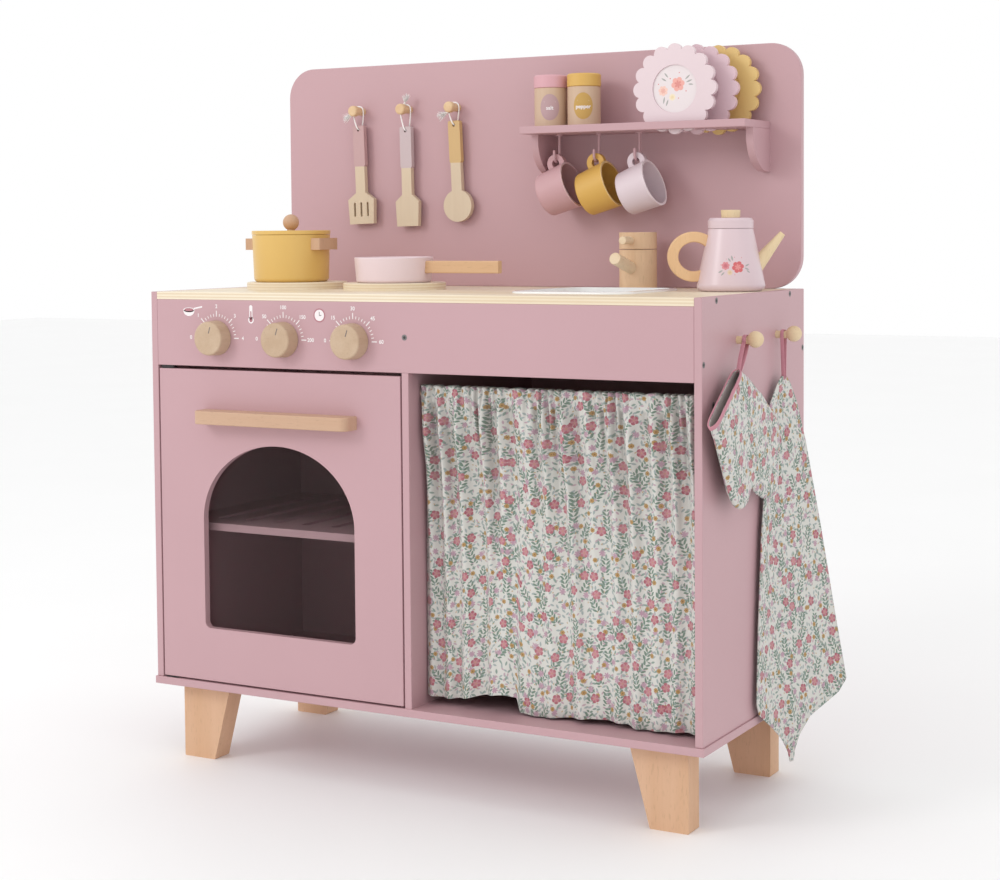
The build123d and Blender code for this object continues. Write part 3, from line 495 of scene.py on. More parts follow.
for name, radius, corners, lift, material in (("screw_heads", 3.4, 28, 0.15, head_zinc),
                                              ("screw_sockets", 1.75, 6, 0.22, socket_dark)):
    verts, faces = [], []
    angles = [2 * pi * i / corners for i in range(corners)]
    upright = Vector((0, 0, 1))
    for centre, out in outer_screws:
        sideways = upright.cross(out)
        faces.append(tuple(range(len(verts), len(verts) + corners)))
        verts += [centre + out * lift * mm + (sideways * cos(a) + upright * sin(a)) * radius * mm
                  for a in angles]
    new_piece(name, verts, faces, material, "cabinet", smooth=False)

white_plastic, tree, shader = finish_with("white_moulded_plastic", 0.4)
grain = noise(tree, place_of(tree), 500, 2)
colour_by(tree, shader, grain, (0.80, 0.80, 0.78), (0.87, 0.87, 0.85))
bump(tree, shader, grain, 0.00004)
dress(white_plastic, "magnet_catch")

# ---- sink and tap ----
# The basin is pressed steel in white enamel, dropped into the worktop's cut-out. The tap is two
# turned beech blocks with dowels for its spout and its lever; the upper block turns.
enamel, tree, shader = finish_with("white_enamel", 0.18)
pools = noise(tree, place_of(tree), 30, 2)
colour_by(tree, shader, pools, (0.84, 0.84, 0.83), (0.90, 0.90, 0.89))
bump(tree, shader, pools, 0.0001, 0.3)
shader.inputs["Coat Weight"].default_value = 0.5
dress(enamel, "sink_basin")
tap_wood = timber("tap_beech", (0.78, 0.55, 0.35), (0.66, 0.43, 0.26), "Z", 36)
dress(tap_wood, "tap_body", "tap_head")
dress(timber("dowel_beech", (0.82, 0.66, 0.46), (0.74, 0.56, 0.36), "Y", 50), "tap_spout", "tap_lever")

# ---- pot and pan ----
# Turned wooden toys: the pot and its lid in mustard lacquer with beech side blocks and a beech ball,
# the pan in pale pink with a straight beech handle.
mustard = paint("mustard_lacquer", (0.730, 0.470, 0.130), 0.95, 0.36, 0.25)
pale_pink = paint("pale_pink_lacquer", (0.80, 0.650, 0.680), 0.96, 0.36, 0.25)
dress(mustard, "pot_body", "pot_lid")
dress(pale_pink, "pan_body")
grip_wood = timber("grip_beech", (0.62, 0.40, 0.26), (0.54, 0.32, 0.19), "Z", 40)
dress(grip_wood, "pot_handles", "pot_lid_knob")
dress(timber("pan_handle_beech", (0.71, 0.46, 0.27), (0.63, 0.38, 0.20), "X", 30), "pan_handle")

# ---- kettle ----
# A turned kettle in pale pink lacquer with a bent beech handle, a tapered birch spout and a birch
# lid knob. A small bunch of painted flowers is printed on the side that faces out.


def petals(tree, x, z, cx, cz, reach, count, turn=0.0, depth=0.3, soft=0.25):
    """A mask that is 1 inside a flower with rounded petals, centred at (cx, cz) in millimetres."""
    dx, dz = minus(tree, x, cx), minus(tree, z, cz)
    away = sums(tree, "SQRT", plus(tree, times(tree, dx, dx), times(tree, dz, dz)))
    angle = plus(tree, sums(tree, "ARCTAN2", dz, dx), turn)
    wave = sums(tree, "ABSOLUTE", sums(tree, "COSINE", times(tree, angle, count / 2)))
    edge = times(tree, reach, plus(tree, 1 - depth, times(tree, sums(tree, "SQRT", wave), depth)))
    return ramp(tree, minus(tree, edge, away), 0.0, soft)


def leaf(tree, x, z, cx, cz, long, wide, tilt):
    """A mask for one pointed leaf, tilted from upright by tilt degrees."""
    dx, dz = minus(tree, x, cx), minus(tree, z, cz)
    c, s = cos(radians(tilt)), sin(radians(tilt))
    u = plus(tree, times(tree, dx, c), times(tree, dz, -s))
    v = plus(tree, times(tree, dx, s), times(tree, dz, c))
    body = plus(tree, sums(tree, "ABSOLUTE", sums(tree, "DIVIDE", u, wide)),
                sums(tree, "POWER", sums(tree, "ABSOLUTE", sums(tree, "DIVIDE", v, long)), 2.0))
    return ramp(tree, body, 1.0, 0.7)


def bouquet(name, base, centre, right, scale, marks, leaves, disc=None):
    """Satin paint with a printed bunch of flowers on the face that looks along the front."""
    made, tree, shader = finish_with(name, 0.36)
    where = place_of(tree)
    away = node(tree, "ShaderNodeVectorMath", {0: where, 1: centre}, operation="SUBTRACT").outputs[0]
    x = node(tree, "ShaderNodeVectorMath", {0: away, 1: right}, operation="DOT_PRODUCT").outputs[1]
    x = times(tree, x, 1000)
    z = times(tree, node(tree, "ShaderNodeSeparateXYZ", {0: away}).outputs[2], 1000)
    facing = (right[1], -right[0], 0)
    depth = node(tree, "ShaderNodeVectorMath", {0: away, 1: facing}, operation="DOT_PRODUCT").outputs[1]
    outside = sums(tree, "GREATER_THAN", depth, 0.0)
    cloud = noise(tree, where, 8)
    colour = blend_colour(tree, cloud, [c * 0.96 for c in base], base)
    if disc:
        radius, pale = disc
        inside = sums(tree, "LESS_THAN", plus(tree, times(tree, x, x), times(tree, z, z)), radius ** 2)
        colour = blend_colour(tree, times(tree, inside, outside), colour, pale)
    for cx, cz, reach, count, tint, heart in marks:
        mask = petals(tree, x, z, cx * scale, cz * scale, reach * scale, count, 0.5 * cx)
        colour = blend_colour(tree, times(tree, mask, outside), colour, tint)
        lines = petals(tree, x, z, cx * scale, cz * scale, reach * 0.55 * scale, count,
                       0.5 * cx + pi / count, 0.75)
        colour = blend_colour(tree, times(tree, times(tree, lines, 0.6), outside), colour, heart)
    for cx, cz, long, wide, tilt in leaves:
        mask = leaf(tree, x, z, cx * scale, cz * scale, long * scale, wide * scale, tilt)
        colour = blend_colour(tree, times(tree, mask, outside), colour, (0.36, 0.36, 0.34))
    tree.links.new(colour, shader.inputs["Base Color"])
    bump(tree, shader, noise(tree, where, 420, 2), 0.00006, 0.6)
    shader.inputs["Coat Weight"].default_value = 0.25
    shader.inputs["Coat Roughness"].default_value = 0.25
    return made


kettle_centre = (left + 676 * mm, front + 200 * mm, 603 * mm)
coral, rose, sand = (0.62, 0.12, 0.13), (0.66, 0.24, 0.27), (0.72, 0.56, 0.40)
dress(bouquet("kettle_lacquer", (0.70, 0.550, 0.585), kettle_centre, (0.927, 0.376, 0), 1.0,
              [(8.0, -1.0, 6.8, 6, coral, (0.78, 0.35, 0.33)),
               (-5.8, 0.5, 4.8, 7, rose, (0.45, 0.08, 0.12)),
               (-1.0, -7.0, 3.2, 8, sand, (0.62, 0.42, 0.22)), (4.2, 10.0, 0.6, 5, coral, coral),
               (12, 9.5, 0.6, 5, coral, coral), (-11, 1.5, 0.6, 5, coral, coral),
               (4.5, -9.5, 0.6, 5, coral, coral), (-5.0, 8.0, 0.5, 5, coral, coral)],
              [(1.4, 9.0, 3.4, 1.2, -15), (-1.6, 7.0, 2.8, 1.1, -35), (18.2, 1.0, 3.0, 1.0, 60),
               (17.8, -3.0, 3.2, 1.0, 115), (19.5, -6.0, 2.6, 0.9, 130), (-11.5, -6.0, 3.2, 1.1, 60),
               (-9.0, -8.5, 3.0, 1.0, 45)]),
      "kettle_body")
dress(paint("kettle_lid_lacquer", (0.70, 0.55, 0.585), 0.96, 0.36, 0.25), "kettle_lid")
dress(timber("kettle_handle_beech", (0.82, 0.55, 0.31), (0.74, 0.46, 0.24), "Z", 30), "kettle_handle")
dress(timber("spout_birch", (0.82, 0.66, 0.42), (0.74, 0.56, 0.32), "Z", 40), "kettle_spout",
      "kettle_lid_knob")

# ---- wall shelf goods: plates, shakers, hooks and mugs ----
# Three scalloped plates stand in slots of the painted shelf, two turned birch shakers have paper
# labels, and three mugs hang by their ring handles from pink powder-coated hooks.
plate_at = (left + 594.5 * mm, front + 231 * mm, 808.5 * mm)
dress(bouquet("flower_plate_paint", (0.74, 0.60, 0.63), plate_at, (1, 0, 0), 1.0,
              [(3.8, 5.2, 8.6, 6, (0.80, 0.38, 0.33), (0.60, 0.16, 0.15)),
               (-15.0, -2.0, 6.2, 7, (0.84, 0.55, 0.47), (0.70, 0.30, 0.25)),
               (-3.4, -9.7, 4.2, 8, (0.84, 0.72, 0.50), (0.74, 0.56, 0.30)),
               (-6, 12, 0.9, 5, coral, coral), (14, -3, 0.9, 5, coral, coral),
               (5.5, 18.5, 0.8, 5, coral, coral), (4.5, -11, 0.8, 5, coral, coral),
               (-21, 6, 0.8, 5, coral, coral)],
              [(-11, 16, 4.0, 1.1, -40), (-14, 11, 4.0, 1.1, -60), (16, 13, 4.5, 1.1, 50),
               (18, 8.5, 4.5, 1.1, 70), (20, 4.5, 3.6, 1.0, 95), (-14, -13, 4.5, 1.1, 10),
               (-10, -16, 4.5, 1.1, 20)],
              (27.6, (0.76, 0.68, 0.69))), "plate_flower")
dress(paint("plate_pink_paint", (0.72, 0.52, 0.57), 0.96, 0.4), "plate_pink")
dress(paint("plate_mustard_paint", (0.76, 0.53, 0.20), 0.95, 0.4), "plate_mustard")
dress(pink_paint, "cup_hooks")


def mug_finish(name, colour, rim, hook_x):
    """Matt lacquer, paler in a thin band at the rim of the mouth."""
    made, tree, shader = finish_with(name, 0.48)
    where = place_of(tree)
    mouth = Vector((cos(radians(20)), 0, sin(radians(20))))
    rim_point = Vector((left + hook_x * mm, front + 257 * mm, 725.9 * mm)) + mouth * 12.5 * mm
    along = node(tree, "ShaderNodeVectorMath", {0: where, 1: mouth}, operation="DOT_PRODUCT").outputs[1]
    edge = ramp(tree, along, rim_point.dot(mouth) - 0.0009, rim_point.dot(mouth) - 0.0002)
    cloud = noise(tree, where, 14)
    body = blend_colour(tree, cloud, [c * 0.94 for c in colour], colour)
    colour_by(tree, shader, edge, body, rim)
    bump(tree, shader, noise(tree, where, 420, 2), 0.00006, 0.6)
    return made


dress(mug_finish("mug_pink_lacquer", (0.58, 0.34, 0.36), (0.70, 0.50, 0.52), 425), "mug_pink")
dress(mug_finish("mug_mustard_lacquer", (0.68, 0.40, 0.09), (0.80, 0.58, 0.26), 479), "mug_mustard")
dress(mug_finish("mug_lilac_lacquer", (0.72, 0.60, 0.64), (0.86, 0.76, 0.79), 533), "mug_lilac")


def shaker_finish(name, lid, lid_z):
    """Birch below the lid line and lacquer above it, with fine lathe rings."""
    made, tree, shader = finish_with(name, 0.45)
    where = place_of(tree)
    height = node(tree, "ShaderNodeSeparateXYZ", {0: where}).outputs[2]
    fibres = noise(tree, where, 300, 3, (1, 1, 0.05))
    bands = noise(tree, where, 60, 3, (1, 1, 0.1))
    wood = blend_colour(tree, bands, (0.56, 0.39, 0.27), (0.64, 0.47, 0.34))
    wood = blend_colour(tree, times(tree, fibres, 0.3), wood, (0.46, 0.30, 0.18))
    top = sums(tree, "GREATER_THAN", height, lid_z)
    colour_by(tree, shader, top, wood, lid)
    bump(tree, shader, fibres, 0.0001, 0.4)
    return made


label_way = radians(23)
shakers = (("pink", 417.3, (0.66, 0.36, 0.40), (0.50, 0.33, 0.34), "salt"),
           ("mustard", 462.6, (0.66, 0.40, 0.10), (0.56, 0.34, 0.09), "pepper"))
for colour_name, shaker_x, lid_colour, label_colour, word in shakers:
    cx, cy = left + shaker_x * mm, front + 257 * mm
    dress(shaker_finish("shaker_%s_wood" % colour_name, lid_colour, 817.9 * mm), "shaker_" + colour_name)
    paper = paint("label_" + colour_name, label_colour, 0.9, 0.6)
    radius = 20.3 * mm

    def wrapped(u, z, lift):
        """A point u to the right and z above the label's middle, bent round the shaker."""
        angle = label_way + u * mm / radius
        return (cx + (radius + lift) * sin(angle), cy - (radius + lift) * cos(angle), (794 + z) * mm)

    rings, turns = 8, 40
    verts = [wrapped(12 * r / rings * cos(2 * pi * t / turns), 16 * r / rings * sin(2 * pi * t / turns),
                     0.1 * mm)
             for r in range(rings + 1) for t in range(turns)]
    faces = [(r * turns + t, r * turns + (t + 1) % turns, (r + 1) * turns + (t + 1) % turns,
              (r + 1) * turns + t)
             for r in range(rings) for t in range(turns)]
    new_piece("shaker_label_" + colour_name, verts, faces, paper, "shaker_%s_body" % colour_name)
    glyph, triangles = lettering(word, 6.5)
    verts = [wrapped(g.x, g.y - 1, 0.2 * mm) for g in glyph]
    rule = [(-7, 6.2), (7, 6.2), (7, 6.8), (-7, 6.8)]
    triangles.append(tuple(range(len(verts), len(verts) + 4)))
    verts += [wrapped(u, z, 0.2 * mm) for u, z in rule]
    new_piece("shaker_word_" + colour_name, verts, triangles, ink, "shaker_%s_body" % colour_name,
              smooth=False)

# ---- utensils and pegs ----
# Sawn birch utensils with dipped handles, on turned beech pegs glued into the backsplash and the side.


def utensil_finish(name, colour, line_z):
    """Bare birch with a painted handle above a masked line."""
    made, tree, shader = finish_with(name, 0.5)
    where = place_of(tree)
    height = node(tree, "ShaderNodeSeparateXYZ", {0: where}).outputs[2]
    fibres = noise(tree, where, 330, 3, (1, 1, 0.05))
    wood = blend_colour(tree, noise(tree, where, 40, 3, (1, 1, 0.1)), (0.62, 0.49, 0.35),
                        (0.70, 0.58, 0.43))
    wood = blend_colour(tree, times(tree, fibres, 0.25), wood, (0.50, 0.37, 0.24))
    painted = sums(tree, "GREATER_THAN", height, line_z)
    colour_by(tree, shader, painted, wood, colour)
    bump(tree, shader, fibres, 0.0001, 0.4)
    return made


for name, drop, colour in (("turner", 18.5, (0.52, 0.33, 0.33)), ("spatula", 22.0, (0.55, 0.44, 0.45)),
                           ("spoon", 17.0, (0.60, 0.40, 0.18))):
    dress(utensil_finish(name + "_birch", colour, (802.3 - drop - 53.5) * mm), name)
dress(timber("peg_beech", (0.76, 0.55, 0.33), (0.68, 0.45, 0.25), "Y", 60), "utensil_pegs")
dress(timber("side_peg_beech", (0.80, 0.64, 0.42), (0.72, 0.53, 0.32), "X", 60), "side_pegs", "curtain_rod")

# ---- printed cotton ----
# Curtain, mitt and towel are sewn from one thin cotton: off-white, printed all over with dusty rose
# blossoms, small mustard flowers, lilac sprays and sage leaf sprigs.


def printed_cotton(name):
    made, tree, shader = finish_with(name, 0.9)
    cloth = node(tree, "ShaderNodeVectorMath", {0: node(tree, "ShaderNodeUVMap", uv_map="cloth").outputs[0],
                                                "Scale": 1000.0}, operation="SCALE").outputs[0]

    def scatter(cell, shift, spread=0.9):
        """The place of each mark on a loose grid: offsets from its middle, and three random numbers."""
        moved = node(tree, "ShaderNodeVectorMath", {0: cloth, 1: (shift, shift * 0.7, 0)},
                     operation="ADD").outputs[0]
        small = node(tree, "ShaderNodeVectorMath", {0: moved, "Scale": 1 / cell},
                     operation="SCALE").outputs[0]
        cells = node(tree, "ShaderNodeTexVoronoi", {"Vector": small, "Scale": 1.0, "Randomness": spread},
                     voronoi_dimensions="2D")
        off = node(tree, "ShaderNodeVectorMath", {0: small, 1: cells.outputs["Position"]},
                   operation="SUBTRACT").outputs[0]
        parts = node(tree, "ShaderNodeSeparateXYZ", {0: off})
        chance = node(tree, "ShaderNodeSeparateColor", {0: cells.outputs["Color"]})
        return (times(tree, parts.outputs[0], cell), times(tree, parts.outputs[1], cell),
                chance.outputs[0], chance.outputs[1], chance.outputs[2])

    def turned(x, y, chance):
        angle = times(tree, chance, 2 * pi)
        c, s = sums(tree, "COSINE", angle), sums(tree, "SINE", angle)
        return (plus(tree, times(tree, x, c), times(tree, y, s)),
                minus(tree, times(tree, y, c), times(tree, x, s)))

    def at_most(value, limit, soft=0.15):
        return ramp(tree, value, limit + soft, limit - soft)

    def both(a, b):
        return times(tree, a, b)

    def sprig(x, y, long, half, pitch, wide):
        """Paired leaves that slant up and out along a stem."""
        out = sums(tree, "ABSOLUTE", x)
        along = minus(tree, y, times(tree, out, 0.85))
        near = sums(tree, "FRACT", sums(tree, "DIVIDE", along, pitch))
        near = sums(tree, "ABSOLUTE", minus(tree, near, 0.5))
        width = times(tree, sums(tree, "MINIMUM", out, half), pi / half)
        width = times(tree, sums(tree, "SINE", width), wide)
        inside = ramp(tree, minus(tree, width, times(tree, near, pitch)), -0.1, 0.12)
        return both(both(inside, at_most(out, half)), at_most(sums(tree, "ABSOLUTE", y), long, 0.4))

    def speck(x, y, long, wide):
        return leaf(tree, x, y, 0.0, 0.0, long, wide, 0)

    def printed(under, mask, chance, share, over):
        return blend_colour(tree, both(mask, sums(tree, "LESS_THAN", chance, share)), under, over)

    colour = blend_colour(tree, noise(tree, cloth, 0.05, 2), (0.60, 0.59, 0.55), (0.66, 0.65, 0.61))
    specks = ((6.9, 3.1, 3.1, 1.35, 0.9, (0.34, 0.39, 0.38)),
              (8.4, 31.7, 2.6, 1.2, 0.75, (0.48, 0.35, 0.39)),
              (8.8, 90.3, 3.4, 1.4, 0.75, (0.25, 0.32, 0.28)),
              (9.5, 140.9, 1.5, 0.8, 0.6, (0.50, 0.36, 0.22)))
    for cell, shift, long, wide, share, tint in specks:
        x, y, one, two, three = scatter(cell, shift, 1.0)
        u, v = turned(x, y, one)
        colour = printed(colour, speck(u, v, long, wide), two, share, tint)
    x, y, one, two, three = scatter(20.0, 57.3)
    u, v = turned(x, y, node(tree, "ShaderNodeMapRange", {0: one, 3: -0.12, 4: 0.12}).outputs[0])
    colour = printed(colour, sprig(u, v, 9.2, 5.0, 4.6, 1.75), two, 0.72, (0.17, 0.24, 0.19))
    x, y, one, two, three = scatter(15.0, 11.9)
    u, v = turned(x, y, one)
    colour = printed(colour, petals(tree, u, v, 0.0, 0.0, 4.0, 7, 0.0, 0.86, 0.4), two, 0.42,
                     (0.46, 0.29, 0.36))
    x, y, one, two, three = scatter(16.5, 77.7)
    u, v = turned(x, y, one)
    colour = printed(colour, petals(tree, u, v, 0.0, 0.0, 3.0, 7, 0.0, 0.35, 0.3), two, 0.5,
                     (0.42, 0.26, 0.10))
    colour = printed(colour, petals(tree, u, v, 0.0, 0.0, 0.9, 5), two, 0.5, (0.26, 0.13, 0.06))
    x, y, one, two, three = scatter(24.0, 5.3)
    u, v = turned(x, y, one)
    colour = printed(colour, petals(tree, u, v, 0.0, 0.0, 5.6, 5, 0.0, 0.34, 0.3), two, 0.66,
                     blend_colour(tree, three, (0.36, 0.10, 0.13), (0.45, 0.17, 0.20)))
    colour = printed(colour, times(tree, petals(tree, u, v, 0.0, 0.0, 4.2, 5, pi / 5, 0.85), 0.45), two,
                     0.66, (0.62, 0.36, 0.38))
    colour = printed(colour, petals(tree, u, v, 0.0, 0.0, 1.1, 6), two, 0.66, (0.50, 0.28, 0.20))
    # painted shade: the cloth's colour is darkened where it lies hidden down in its folds
    fold_shade = node(tree, "ShaderNodeAmbientOcclusion", {"Distance": 0.016}, samples=6).outputs["AO"]
    fold_shade = node(tree, "ShaderNodeMapRange", {0: fold_shade, 1: 0.45, 2: 0.95, 3: 0.5, 4: 0.0}).outputs[0]
    colour = blend_colour(tree, fold_shade, colour, (0.16, 0.12, 0.11))
    tree.links.new(colour, shader.inputs["Base Color"])
    sides = node(tree, "ShaderNodeSeparateXYZ", {0: cloth}).outputs
    thread_mm = 0.7
    weft, warp = [sums(tree, "SINE", times(tree, sides[way], 2 * pi / thread_mm)) for way in (0, 1)]
    weave = times(tree, weft, warp)
    slub = noise(tree, cloth, 0.5, 4)
    bump(tree, shader, plus(tree, times(tree, weave, 0.25), slub), 0.0002, 0.5)
    shader.inputs["Sheen Weight"].default_value = 0.15
    return made


def cloth_grid(name, rows, uv_rows, material, body, thick):
    """A sheet of cloth from rows of points, with its flat pattern kept as a UV map."""
    count = len(rows[0])
    verts = [p for row in rows for p in row]
    faces = [(r * count + c, r * count + c + 1, (r + 1) * count + c + 1, (r + 1) * count + c)
             for r in range(len(rows) - 1) for c in range(count - 1)]
    made = new_piece(name, verts, faces, material, body)
    flat = [uv for row in uv_rows for uv in row]
    layer = made.data.uv_layers.new(name="cloth")
    for loop in made.data.loops:
        layer.data[loop.index].uv = flat[loop.vertex_index]
    if thick:
        shell = made.modifiers.new("thickness", "SOLIDIFY")
        shell.thickness = thick
        shell.offset = 0
        depsgraph = bpy.context.evaluated_depsgraph_get()
        with_thickness = bpy.data.meshes.new_from_object(made.evaluated_get(depsgraph))
        made.modifiers.clear()
        made.data = with_thickness
    return made


cotton = printed_cotton("printed_cotton")

# ---- curtain ----
# A gathered cotton curtain that hangs on a beech rod between the partition and the right side: a sewn
# casing with a narrow ruffle above it, folds that soften downwards, and a turned hem.
curtain_low, curtain_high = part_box("curtain")
curtain_wide = curtain_high[0] - curtain_low[0]
rod_y, rod_z = front + 30 * mm, 460 * mm
hem = ((0, 112), (0.07, 110), (0.30, 123), (0.335, 121), (0.35, 104), (0.42, 103), (0.64, 108),
       (0.73, 107), (0.77, 103.5), (1, 107))


def hem_height(s):
    for (s0, z0), (s1, z1) in zip(hem, hem[1:]):
        if s <= s1:
            t = (s - s0) / (s1 - s0)
            t = t * t * (3 - 2 * t)
            return (z0 + (z1 - z0) * t) * mm
    return hem[-1][1] * mm


random.seed(21)
pleats = [(random.uniform(0, 1), random.uniform(0.012, 0.022), random.uniform(-0.5, 1.0))
          for _ in range(34)]
folds = [(0.022, 0.015, 15.0, 0.0), (0.08, 0.014, 14.0, 0.005), (0.145, 0.017, 18.0, 0.012),
         (0.235, 0.015, 17.0, 0.02), (0.30, 0.021, 12.0, -0.005), (0.385, 0.018, 8.0, 0.02),
         (0.455, 0.018, 11.0, 0.01), (0.525, 0.017, 17.0, 0.05), (0.615, 0.02, 8.0, 0.01),
         (0.69, 0.016, 11.0, 0.015), (0.755, 0.016, 13.0, 0.01), (0.835, 0.02, 9.0, 0.0),
         (0.905, 0.015, 11.0, -0.005), (0.97, 0.014, 13.0, 0.0)]


def curtain_point(s, down):
    """How far the cloth stands forward; s runs across, and down from the rod to the hem, 0 to 1."""
    y = -9.0 * min(1, down * 4)
    y += 10.0 * exp(-down * 9) * (abs(sin(93 * s + 2 * sin(27 * s))) - 0.6)
    for middle, width, deep in pleats:
        fade = exp(-down * 7) + 0.05
        y += 3.0 * deep * fade * exp(-((s - middle) / (width * (0.55 + 0.9 * down))) ** 2)
    for middle, width, deep, drift in folds:
        spread = width * (0.8 + 0.75 * down)
        strength = deep * (0.72 + 0.3 * cos(pi * down * 1.4)) * min(1, 0.35 + 5 * down)
        y += strength * exp(-((s - middle - drift * down) / spread) ** 2)
    y += 1.8 * sin(11 * s + 4 * down) * down + 0.7 * sin(37 * s - 5 * down)
    return y * mm


columns, lines = 300, 96
rows, uv_rows = [], []
ruffle = [curtain_point(c / columns, 0.0) for c in range(columns + 1)]
for back_step in range(6):
    z = rod_z - 9 * mm + 17 * mm * back_step / 5
    rows.append([Vector((curtain_low[0] + curtain_wide * c / columns, rod_y + 5.6 * mm + 0.25 * ruffle[c],
                         z))
                 for c in range(columns + 1)])
for top_step in range(7):
    angle = pi * top_step / 6
    row = []
    for c in range(columns + 1):
        bulge = 0.6 * ruffle[c] * (1 - cos(angle)) / 2
        crinkle = 1.2 * mm * sin(0.9 * c + 2 * sin(0.11 * c))
        rise = 7.6 + 2.2 * abs(sin(0.31 * c + 2 * sin(0.09 * c))) + 1.2 * sin(angle)
        row.append(Vector((curtain_low[0] + curtain_wide * c / columns,
                           rod_y - 1.5 * mm + 5.8 * mm * cos(angle) - bulge + crinkle,
                           rod_z + rise * mm)))
    rows.append(row)
for line in range(lines + 1):
    down = line / lines
    row = []
    for c in range(columns + 1):
        s = c / columns
        top = rod_z + 6.5 * mm
        z = top + (hem_height(s) - top) * down
        hug = exp(-((z - rod_z) / (7 * mm)) ** 2)
        fold = curtain_point(s, down) * (1 - 0.25 * hug) * (0.6 if down < 0.02 else 1.0)
        y = rod_y - 6.0 * mm - fold + 4.0 * mm * min(1, down * 3)
        rearmost = rod_y + 9 * mm if z < rod_z - 9 * mm else rod_y - 5.2 * mm
        y = max(curtain_low[1] + 1.5 * mm, min(rearmost, y))
        row.append(Vector((curtain_low[0] + curtain_wide * s, y, z)))
    rows.append(row)
across = [0.0]
for a, b in zip(rows[60], rows[60][1:]):
    across.append(across[-1] + (b - a).length)
fall = 0.0
for index, row in enumerate(rows):
    if index:
        fall += (row[columns // 2] - rows[index - 1][columns // 2]).length
    uv_rows.append([(length + 0.1, 0.6 - fall) for length in across])
curtain = cloth_grid("curtain_cloth", rows, uv_rows, cotton, "curtain_body", 0.0)
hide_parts("curtain")
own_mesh(curtain)

# ---- oven mitt ----
# A padded cotton mitt on the front side peg: two printed layers over wadding, sewn round the hand, with
# a grey lining, pink binding round the open cuff and a pink tape loop.
binding, tree, shader = finish_with("pink_binding", 0.8)
weft = noise(tree, place_of(tree), 900, 2)
colour_by(tree, shader, weft, (0.50, 0.21, 0.26), (0.60, 0.28, 0.33))
bump(tree, shader, weft, 0.0002)
lining, tree, shader = finish_with("grey_lining", 0.9)
weft = noise(tree, place_of(tree), 900, 2)
colour_by(tree, shader, weft, (0.42, 0.36, 0.35), (0.52, 0.46, 0.44))
bump(tree, shader, weft, 0.0002)
mitt_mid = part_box("oven_mitt")[1][0] - 6.2 * mm
peg_y, side_peg_z = front + 97.5 * mm, 525 * mm
hand = [(57, 497), (84, 487.5), (103, 476), (122, 467), (150, 448.5), (174, 431), (175.5, 405), (174, 378),
        (171.5, 361), (165.5, 349.5), (150, 346.5), (125, 349.5), (108, 356), (94, 365.5), (88.5, 362),
        (80, 349.5), (71, 346), (62, 345.5), (52, 348), (43, 352), (34, 359.5), (27.5, 367), (20, 379),
        (13, 393), (-1, 415), (-13.5, 434), (-19.5, 441.5)]


def even(points, pitch, closed=True):
    """Points a set distance apart along an outline."""
    out = []
    pairs = zip(points, points[1:] + points[:1]) if closed else zip(points, points[1:])
    for a, b in pairs:
        count = max(1, round((Vector(b) - Vector(a)).length / pitch))
        out += [Vector(a).lerp(Vector(b), i / count) for i in range(count)]
    return out


hand_edge = even([Vector(p) for p in hand], 4.0)
cuff_from, cuff_to = Vector(hand[-1]), Vector(hand[0])
cuff_way = (cuff_to - cuff_from).normalized()


def gap_to(p, a, b):
    t = max(0, min(1, (p - a).dot(b - a) / (b - a).length_squared))
    return (p - a - (b - a) * t).length


inside_points = []
xs = [p.x for p in hand_edge]
zs = [p.y for p in hand_edge]


def within(p):
    hit = False
    for a, b in zip(hand_edge, hand_edge[1:] + hand_edge[:1]):
        if (a.y > p.y) != (b.y > p.y) and p.x < (b.x - a.x) * (p.y - a.y) / (b.y - a.y) + a.x:
            hit = not hit
    return hit


seam = [(Vector(a), Vector(b)) for a, b in zip(hand, hand[1:])]
step = 4.0
row_index = 0
z = min(zs)
while z < max(zs):
    x = min(xs) + (step / 2 if row_index % 2 else 0)
    while x < max(xs):
        p = Vector((x, z))
        if (within(p) and min(gap_to(p, a, b) for a, b in seam) > 2.4
                and gap_to(p, cuff_from, cuff_to) > 2.4):
            inside_points.append(p)
        x += step
    z += step * 0.87
    row_index += 1
edge_count = len(hand_edge)
flat_verts, _, flat_faces, *_ = delaunay_2d_cdt(hand_edge + inside_points,
                                                [(i, (i + 1) % edge_count) for i in range(edge_count)], [],
                                                1, 1e-4)
verts, faces, flat = [], [], []
for sign in (1, -1):
    for p in flat_verts:
        away = min(gap_to(p, a, b) for a, b in seam)
        t = min(1.0, away / 17.0)
        half = 5.2 * sqrt(max(0.0, 1 - (1 - t) ** 2))
        ripple = 0.35 * sin(0.21 * p.x + 0.13 * p.y) * t + 0.3 * sin(0.37 * p.y - 0.11 * p.x) * t
        verts.append((mitt_mid + (sign * half + ripple * (sign > 0)) * mm, front + p.x * mm, p.y * mm))
        flat.append((p.x * mm * sign + 0.9, p.y * mm + 0.11))
count = len(flat_verts)
faces = [tuple(f) for f in flat_faces] + [tuple(reversed([i + count for i in f])) for f in flat_faces]
mitt = new_piece("mitt_cloth", verts, faces, cotton, "mitt_body")
layer = mitt.data.uv_layers.new(name="cloth")
for loop in mitt.data.loops:
    layer.data[loop.index].uv = flat[loop.vertex_index]
mesh = bmesh.new()
mesh.from_mesh(mitt.data)
bmesh.ops.remove_doubles(mesh, verts=mesh.verts, dist=0.00005)
bmesh.ops.recalc_face_normals(mesh, faces=mesh.faces)
mesh.to_mesh(mitt.data)
mesh.free()
mitt.data.materials.append(lining)
shell = mitt.modifiers.new("layers", "SOLIDIFY")
shell.thickness = 1.0 * mm
shell.offset = -1
shell.material_offset = 1
smooth = mitt.modifiers.new("soften", "SUBSURF")
smooth.levels = smooth.render_levels = 1
softened = bpy.data.meshes.new_from_object(mitt.evaluated_get(bpy.context.evaluated_depsgraph_get()))
mitt.modifiers.clear()
mitt.data = softened
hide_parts("oven_mitt")


